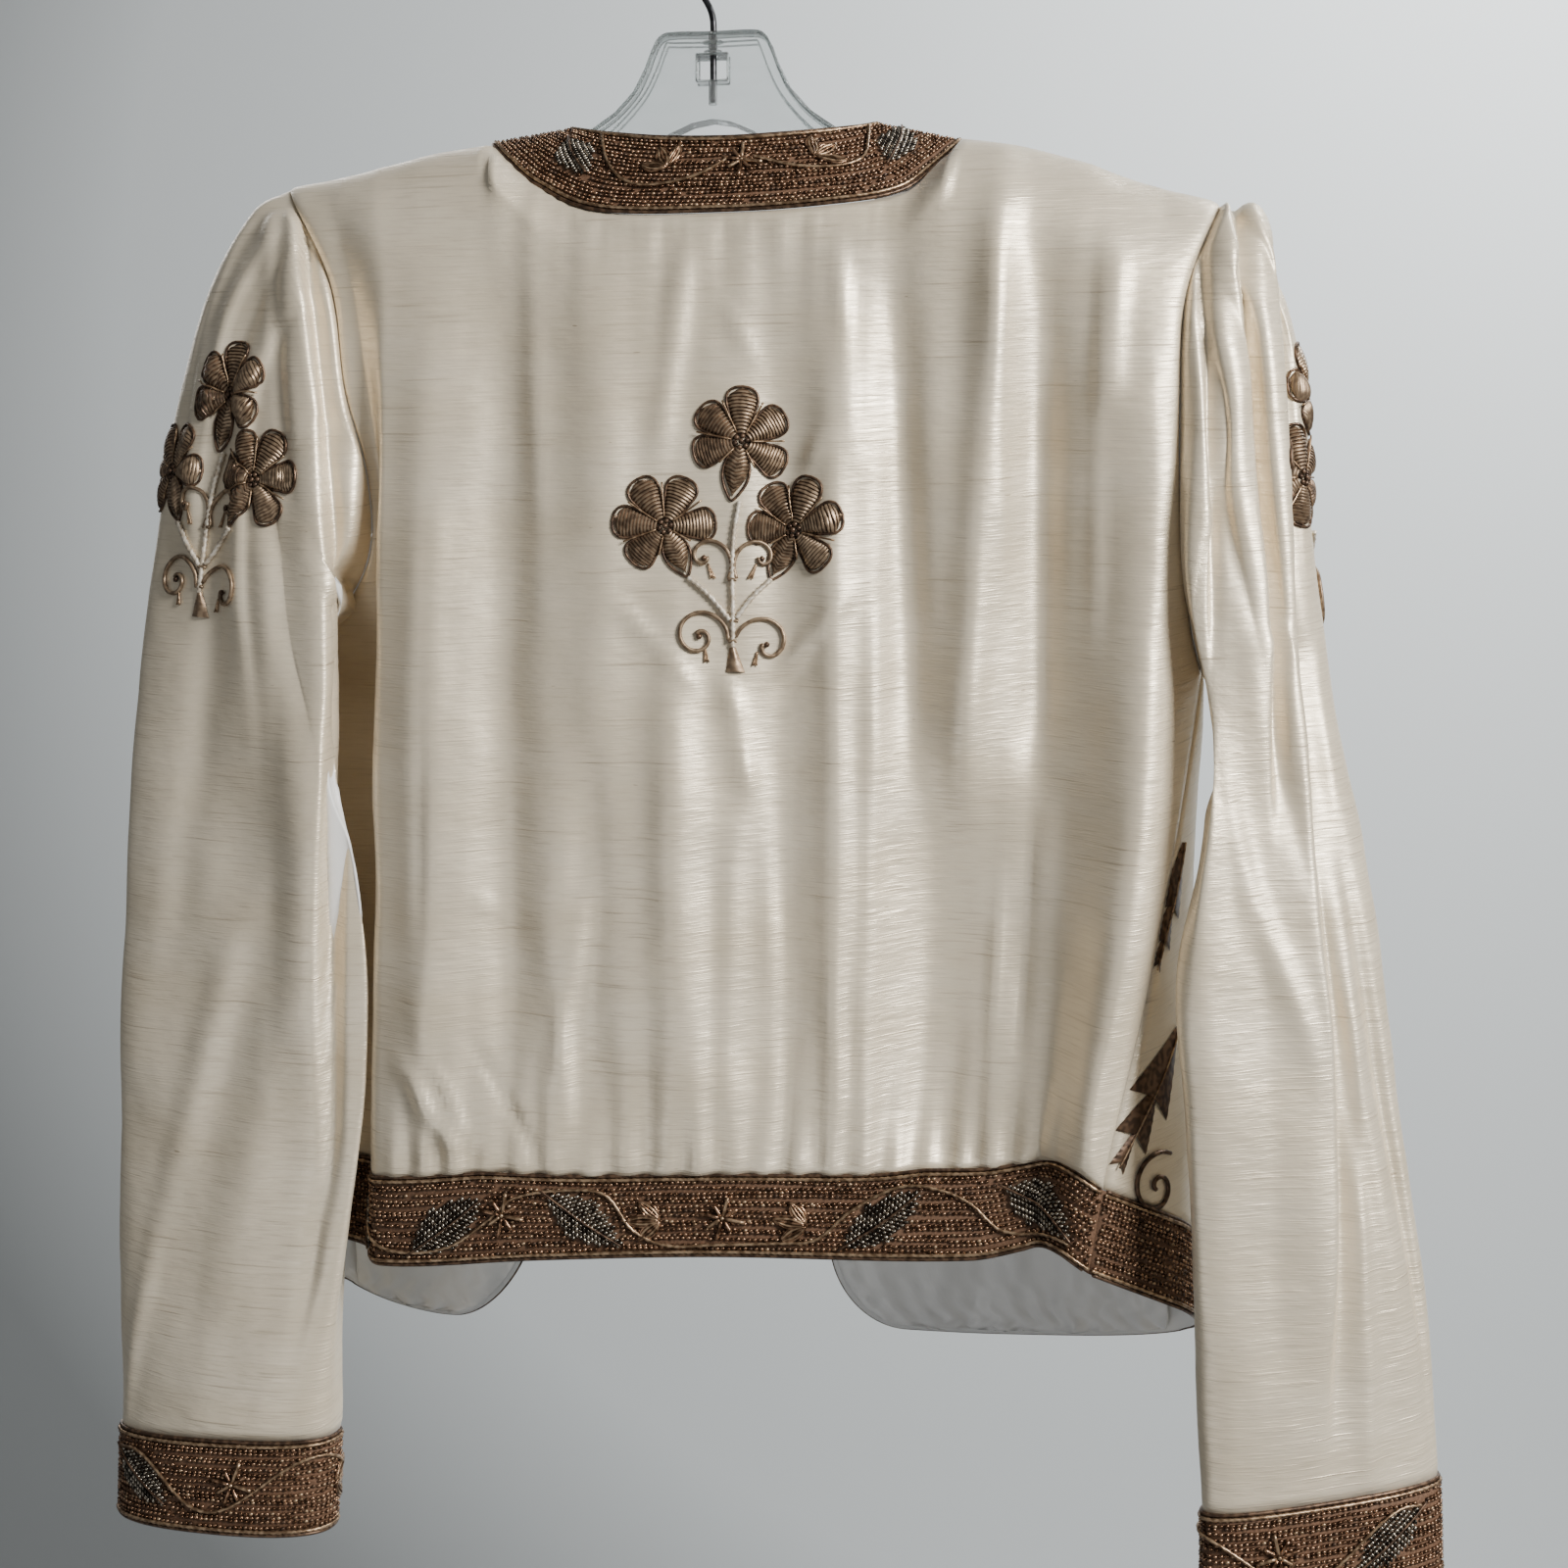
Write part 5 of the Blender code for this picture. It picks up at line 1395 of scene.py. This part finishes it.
def dress_back():
    """The back's silk, its hem band and its neck band."""
    us = steps(0.0, 1.0, 172)
    downs = np.concatenate((steps(0.0, 0.08, 14)[:-1], steps(0.08, 0.80, 78)[:-1], steps(0.80, BAND_TOP, 22)))
    base = sample(back_point, us, downs)
    from_top = lengths_along(base, 0)

    def relief(i, j, x, z):
        """Creases, and small puckers above the hem band and below the neck band."""
        height = crease_height(BACK_CREASES, x, z)
        to_band = from_top[-1, j] - from_top[i, j]
        pucker = 0.9 * math.sin(x * 0.36 + 1.6 * math.sin(x * 0.11))
        height += pucker * math.exp(-to_band / 16.0) * fade(to_band, 0.5, 5.0)
        if NECK[0][4] < x < NECK[-1][4]:
            height += 0.5 * math.sin(x * 0.93 + math.sin(x * 0.2)) * math.exp(-from_top[i, j] / 12.0)
        return height

    points = dressed(base, -1.0, relief)
    add_silk("back", points, -1.0)
    band = sample(lambda u, down: back_point(u, down, relief=False), steps(0.0, 1.0, 230),
                  steps(BAND_TOP + 0.0008, 1.0, 6))
    add_band("back_hem_band", band, -1.0, HEM_DESIGN, 11)

    def neck_point(along, share):
        """A point of the neck band, parted at the shoulders."""
        free_x, free_y, free_z, sewn_x, sewn_y, sewn_z = between(NECK, along)
        y = min(mix(free_y, sewn_y, share), -0.9)
        return mix(free_x, sewn_x, share), y, mix(free_z, sewn_z, share)

    neck = sample(neck_point, steps(0.0, 1.0, 120), steps(0.0, 0.99, 6))
    add_band("neck_band", neck, -1.0, NECK_DESIGN, 12)
    return points


def front_band_grid(side, count):
    """The front band's surface: rows from its sewn edge to its free edge."""
    route = []
    for down in steps(0.0, BAND_TOP, 130)[:-1]:
        route.append(((band_place(side, down), down), (1.0, down)))
    corner = (band_place(side, BAND_TOP), BAND_TOP)
    for turn in np.radians(steps(0.0, 90.0, 24)):
        route.append((corner, (mix(corner[0], 1.0, math.cos(turn)), mix(corner[1], 1.0, math.sin(turn)))))
    for w in steps(corner[0], 0.0, 50)[1:]:
        route.append(((w, BAND_TOP), (w, 1.0)))
    rows = []
    for share in steps(0.012, 1.0, count):
        rows.append([front_point(side, mix(sewn[0], free[0], share), mix(sewn[1], free[1], share))
                     for sewn, free in route])
    return np.array(rows)


def dress_front(side):
    """A front's silk, its band and the satin inside its hem."""
    sign = 1.0 if side == "left" else -1.0
    downs = np.concatenate((steps(0.0, 0.06, 10)[:-1], steps(0.06, BAND_TOP, 96)))
    shares = steps(0.0, 1.0, 62)
    base = sample(lambda share, down: front_point(side, mix(0.0, band_place(side, down), share), down),
                  shares, downs)
    points = dressed(base, sign, lambda i, j, _x, _z: crease_height(FRONT_CREASES, shares[j], downs[i]))
    add_silk(side + "_front", points, sign)
    add_band(side + "_front_band", front_band_grid(side, 6), -sign, FRONT_DESIGN[side],
             13 if side == "left" else 14)

    def lining_point(share, down):
        """Just inside the panel, rounded at the free corner, puckered along its edges."""
        end = 1.0
        if down > BAND_TOP:
            corner = band_place(side, BAND_TOP)
            rise = (down - BAND_TOP) / (1.0 - BAND_TOP)
            end = mix(corner, 1.0, math.sqrt(max(1.0 - rise * rise, 0.0)))
        w = mix(LINING_START, end - LINING_INSET / PANEL_WIDTH, share)
        x, y, z = front_point(side, w, down)
        ahead = front_point(side, min(w + 0.01, 1.0), down)
        behind = front_point(side, w - 0.01, down)
        run = math.hypot(ahead[0] - behind[0], ahead[1] - behind[1])
        turn = -1.0 if side == "left" else 1.0
        edge = min((1.0 - share) * LINING_WIDTH, (1.0 - down) * PANEL_LENGTH)
        pucker = 2.2 * math.sin(x * 0.50 + 0.9 * math.sin(z * 0.5)) * math.sin(z * 0.31 + x * 0.06)
        pucker = pucker * math.exp(-edge / 11.0) + 2.4 * crumple(x * 2.0, y, z)
        hem = 0.5 * math.exp(-(edge / 2.0) ** 2)
        deep = max(LINING_DEPTH + LINING_SLACK + pucker - hem, LINING_LEAST)
        x -= turn * deep * (ahead[1] - behind[1]) / run
        y += turn * deep * (ahead[0] - behind[0]) / run
        return x, y, z + LINING_INSET * (down - LINING_TOP) / (1.0 - LINING_TOP)

    rows = np.concatenate((steps(LINING_TOP, BAND_TOP, 30)[:-1], steps(BAND_TOP, LINING_LOW, 16)[:-1],
                           steps(LINING_LOW, 1.0, 8)))
    lining = sample(lining_point, steps(0.0, 1.0, 76), rows)
    shell(side + "_satin", lining, sign, side + "_lining", (LINING,),
                                     SATIN_SHELL)
    return points


def dress_sleeve(side):
    """A sleeve's silk and its beaded cuff."""
    sign = -1.0 if side == "left" else 1.0
    qs = np.concatenate((steps(0.0, 0.48, 100)[:-1], steps(0.48, 1.0, 44)))
    alongs = np.concatenate((steps(0.0, 0.12, 26)[:-1], steps(0.12, SLEEVE_END, 98)))
    base = sample(lambda q, along: sleeve_point(side, q, along), qs, alongs)

    def relief(i, j, x, z):
        """Creases all round, and on the back half the folds that fall from the head."""
        height = crease_height(SLEEVE_CREASES[side], qs[j], alongs[i], 1.0)
        if qs[j] < 0.5:
            height += fold_height(HEAD_FOLDS[side], x, z)
        return height

    points = dressed(base, sign, relief, closed=True)
    add_silk(side + "_sleeve", points, sign, closed=True)
    cuff = sample(lambda q, along: sleeve_ring(side, q, along), steps(0.0, 1.0, 120),
                  steps(SLEEVE_END + 0.0004, CUFF_END, 6))
    add_band(side + "_cuff", cuff, sign, CUFF_DESIGN[side], 15 if side == "left" else 16, closed=True)
    return points


def hook_line():
    """The hook's wire: an arc over the rail, then the stem down into the hanger's head."""
    centre_z = WIRE_RADIUS - HOOK_RADIUS
    places = []
    for angle in np.radians(steps(HOOK_TIP_ANGLE, HOOK_NECK_ANGLE, 72)):
        places.append((HOOK_RADIUS * math.cos(angle), 0.0, centre_z + HOOK_RADIUS * math.sin(angle)))
    stem = smooth_line([places[-1]] + [(x, 0.0, z) for x, z in HOOK_STEM], 1.5)
    return np.array(places[:-1] + stem.tolist())


def add_rail(heap, line, out, radius, sides=6):
    """A plain cord along a line, all of it facing one way."""
    add_cord(heap, line, np.tile(out, (len(line), 1)), radius, 0, sides)


def head_edge(inset, flip, face):
    """Half the hanger's top edge, an inset inside it: flip is the side, face the flat face it lies on."""
    outline = []
    for x, z in HANGER_TOP:
        away = fade(x, 18.0, 27.0)
        inner_x = max(x - inset * away, 0.0)
        inner_z = z - inset * (1.0 - 0.75 * away * (1 - fade(x, 36.0, 60.0)))
        tilt = HANGER_TILT * flip * x * fade(x, 0.0, HANGER_HEAD)
        outline.append((flip * inner_x, face * HANGER_FACE, inner_z - tilt))
    return smooth_line(outline, 1.2)


def dress_hanger():
    """The clear hanger's moulded edge, the bushing and window round the wire, in a darker tint of its plastic
    as painted shade, and the wire itself.
    """
    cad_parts["hanger"].data.materials.clear()
    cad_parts["hanger"].data.materials.append(CLEAR)
    wire = Heap()
    add_rail(wire, hook_line(), (0.0, -1.0, 0.0), WIRE_RADIUS, sides=16)
    wire.piece("hook_wire", "steel", (STEEL,), node="hook")
    edge = Heap()
    width, height, z = WINDOW
    corners = ((-width / 2, z + height / 2), (width / 2, z + height / 2), (width / 2, z - height / 2),
               (-width / 2, z - height / 2), (-width / 2, z + height / 2))
    for face in (-1.0, 1.0):
        out = (0.0, face, 0.0)
        for inset, radius in ((0.9, 0.75), (5.2, 0.42)):
            for flip in (-1.0, 1.0):
                add_rail(edge, head_edge(inset, flip, face), out, radius)
        for a, b in zip(corners, corners[1:]):
            line = np.array([(mix(a[0], b[0], t), face * HANGER_FACE, mix(a[1], b[1], t))
                             for t in steps(0, 1, 6)])
            add_rail(edge, line, out, 0.45)
    for z, radius in BUSHING:
        angles = steps(0.0, 2 * math.pi, 28)
        ring = np.array([(radius * math.cos(a), min(radius, BUSHING_DEPTH) * math.sin(a), z)
                         for a in angles])
        add_rail(edge, ring, (0.0, 0.0, 1.0), 0.5)
    edge.piece("hanger_edge", "plastic", (PAINTED_SHADE_RIM,))


# Designs of the beadwork

# Leaves: along, across, length, width, turn. Vines and stars: along, across. Sprigs also have a turn
HEM_DESIGN = {"leaves": ((46.0, 18.0, 34.0, 19.0, 50.0), (98.0, 20.0, 37.0, 19.0, -32.0),
                         (158.0, 20.0, 38.0, 19.0, 36.0), (284.0, 19.0, 37.0, 19.0, -36.0),
                         (352.0, 19.0, 40.0, 19.0, 30.0)),
              "vines": (((40.0, 5.0), (56.0, 22.0), (72.0, 30.0), (98.0, 29.0), (116.0, 19.0),
                         (127.0, 10.0), (148.0, 6.0), (166.0, 8.0), (178.0, 24.0), (192.0, 31.0),
                         (214.0, 31.0), (240.0, 30.0), (256.0, 28.0), (270.0, 15.0), (288.0, 6.0),
                         (306.0, 8.0), (320.0, 14.0), (334.0, 26.0), (352.0, 31.0), (368.0, 30.0)),),
              "stars": ((122.0, 17.0), (216.0, 19.0)),
              "sprigs": ((190.0, 20.0, 180.0), (252.0, 22.0, 190.0))}
NECK_DESIGN = {"leaves": ((38.0, 20.0, 30.0, 17.0, 28.0), (192.0, 20.0, 30.0, 17.0, -28.0)),
               "vines": (((36.0, 3.0), (56.0, 19.0), (76.0, 28.0), (96.0, 24.0), (112.0, 13.0)),
                         ((124.0, 13.0), (146.0, 22.0), (168.0, 22.0), (184.0, 11.0), (194.0, 3.0))),
               "stars": ((118.0, 15.0),),
               "sprigs": ((84.0, 18.0, 225.0), (152.0, 16.0, -20.0))}


def repeated(length, start, step, first_turn):
    """The hem's motifs in turn, for a band that doesn't show in full: leaf, star, sprig and a wave."""
    leaves = []
    stars = []
    sprigs = []
    s = start
    k = 0
    while s < length - 22.0:
        kind = k % 3
        if kind == 0:
            leaves.append((s, 19.0, 36.0, 18.0, first_turn if k % 2 == 0 else -first_turn))
        elif kind == 1:
            stars.append((s, 18.0))
        else:
            sprigs.append((s, 20.0, 180.0 if k % 2 else 0.0))
        s += step
        k += 1
    places = np.arange(start - 16.0, length - 12.0, 9.0)
    vine = tuple((s, 18.5 + 12.0 * math.sin((s - start) * math.pi / step - 0.9)) for s in places)
    return {"leaves": leaves, "vines": (vine,), "stars": stars, "sprigs": sprigs}


FRONT_DESIGN = {"left": repeated(690.0, 40.0, 47.0, 34.0), "right": repeated(700.0, 46.0, 49.0, -34.0)}
CUFF_DESIGN = {"left": repeated(226.0, 30.0, 46.0, 34.0), "right": repeated(228.0, 34.0, 48.0, 34.0)}


# The jacket

back_points = dress_back()
front_points = {side: dress_front(side) for side in ("left", "right")}
sleeve_points = {side: dress_sleeve(side) for side in ("left", "right")}
dress_hanger()

# Sprigs of goldwork: the node that each is on, its surface and the side that faces out, the place of
# the lowest knot and the direction to its right, then a turn and a scale
SPRIGS = (("back", back_points, -1.0, (16.0, -50.0, -337.0), (1.0, 0.0, 0.0), 0.0, 1.0),
          ("left_sleeve", sleeve_points["left"], -1.0, (-225.0, -42.0, -310.0), (1.0, 0.0, 0.0), -6.5, 1.02),
          ("right_sleeve", sleeve_points["right"], 1.0, (266.0, 30.0, -318.0), (0.0, 1.0, 0.0), 4.0, 1.02),
          ("left_front", front_points["left"], 1.0, (-140.0, 42.0, -300.0), (-1.0, 0.0, 0.0), 0.0, 0.78),
          ("right_front", front_points["right"], -1.0, (145.0, 42.0, -300.0), (-1.0, 0.0, 0.0), 0.0, 0.82))
# The sprays at the fronts' lower sides: place, the direction to its right, the side it leans to
SPRAYS = {"left_front": ((-203.0, 20.0, -545.0), (-0.5, -1.0, 0.0), -1.0),
          "right_front": ((181.0, -44.0, -552.0), (1.0, 0.9, 0.0), 1.0)}
for node, points, sign, at, right, turn, scale in SPRIGS:
    heap = Heap()
    tree = tree_of(points, sign)
    add_goldwork(heap, Spot(tree, at, Vector(right), scale).turned(turn))
    if node in SPRAYS:
        at, right, lean = SPRAYS[node]
        add_spray(heap, Spot(tree, at, Vector(right)), lean)
    heap.piece(node + "_goldwork", "band", GOLDWORK)


# The room: the floor's height, the wall's depth and their half size
FLOOR_Z = -2.4
WALL_Y = 3.2
WALL_TOP = 5.0
REACH = 9.0
# The pool of light painted into the wall's and the floor's colour: its middle, its reach, and its edge as
# places in it with the share of colour; beyond it the colour is painted shade
PAINTED_LIGHT_PLACE = (0.9, WALL_Y, 0.5)
PAINTED_LIGHT_REACH = 5.0
PAINTED_LIGHT_EDGE = ((0.29, 0.40), (0.46, 1.0))


def add_light(name, place, aim, size, power, colour):
    """A soft square light."""
    lamp = bpy.data.lights.new(name, "AREA")
    lamp.shape = "SQUARE"
    lamp.size = size
    lamp.energy = power
    lamp.color = colour
    made = bpy.data.objects.new(name, lamp)
    made.location = place
    made.rotation_euler = (Vector(aim) - Vector(place)).to_track_quat("-Z", "Y").to_euler()
    made.visible_transmission = False
    bpy.context.scene.collection.objects.link(made)


def add_stage(name, corners, colour):
    """A matt sheet of the room, its colour painted: lightest in the pool of light painted on the wall, darker
    far from it as painted shade.
    """
    mesh = bpy.data.meshes.new(name)
    mesh.from_pydata(corners, [], [(0, 1, 2, 3)])
    made = bpy.data.objects.new(name, mesh)
    bpy.context.scene.collection.objects.link(made)
    finish = bpy.data.materials.new(name)
    finish.use_nodes = True
    tree = finish.node_tree
    surface = tree.nodes["Principled BSDF"]
    surface.inputs["Roughness"].default_value = 0.95
    place = tree.nodes.new("ShaderNodeTexCoord")
    move = tree.nodes.new("ShaderNodeMapping")
    move.inputs["Location"].default_value = tuple(-value / PAINTED_LIGHT_REACH for value in PAINTED_LIGHT_PLACE)
    move.inputs["Scale"].default_value = (1 / PAINTED_LIGHT_REACH,) * 3
    # Painted shade: a spherical gradient about the painted pool of light darkens the colour away from it
    spread = tree.nodes.new("ShaderNodeTexGradient")
    spread.gradient_type = "SPHERICAL"
    ramp = tree.nodes.new("ShaderNodeValToRGB")
    for element, (position, share) in zip(ramp.color_ramp.elements, PAINTED_LIGHT_EDGE):
        element.position = position
        element.color = (*(share * value for value in colour), 1.0)
    tree.links.new(place.outputs["Object"], move.inputs["Vector"])
    tree.links.new(move.outputs["Vector"], spread.inputs["Vector"])
    tree.links.new(spread.outputs["Fac"], ramp.inputs["Fac"])
    tree.links.new(ramp.outputs["Color"], surface.inputs["Base Color"])
    mesh.materials.append(finish)


add_stage("floor", [(-REACH, -REACH, FLOOR_Z), (REACH, -REACH, FLOOR_Z), (REACH, REACH, FLOOR_Z),
                    (-REACH, REACH, FLOOR_Z)], (0.70, 0.72, 0.73))
add_stage("backdrop", [(-REACH, WALL_Y, FLOOR_Z), (REACH, WALL_Y, FLOOR_Z), (REACH, WALL_Y, WALL_TOP),
                       (-REACH, WALL_Y, WALL_TOP)], (0.76, 0.79, 0.80))

add_light("key", (2.15, -1.5, 0.75), (0.0, 0.0, -0.35), 1.0, 132.0, (1.0, 0.985, 0.955))
add_light("fill", (-0.9, -2.1, -1.3), (0.05, 0.0, -0.6), 1.2, 5.5, (0.97, 0.98, 1.0))
add_light("front", (-1.3, 1.8, 0.7), (0.0, 0.0, -0.4), 1.4, 20.0, (1.0, 0.99, 0.97))
add_light("wall", (1.7, 1.5, 2.0), (0.4, WALL_Y, 0.7), 1.2, 120.0, (0.98, 1.0, 1.0))

world = bpy.data.worlds.new("pale_room")
world.use_nodes = True
world.node_tree.nodes["Background"].inputs["Color"].default_value = (0.74, 0.77, 0.79, 1.0)
world.node_tree.nodes["Background"].inputs["Strength"].default_value = 0.22
bpy.context.scene.world = world

camera_data = bpy.data.cameras.new("camera")
camera_data.lens = 46.08
camera_data.sensor_width = 36.0
camera = bpy.data.objects.new("camera", camera_data)
camera.location = (0.1403, -0.8845, -0.3963)
camera.rotation_euler = (math.radians(90.0), 0.0, math.radians(7.0))
bpy.context.scene.collection.objects.link(camera)
bpy.context.scene.camera = camera
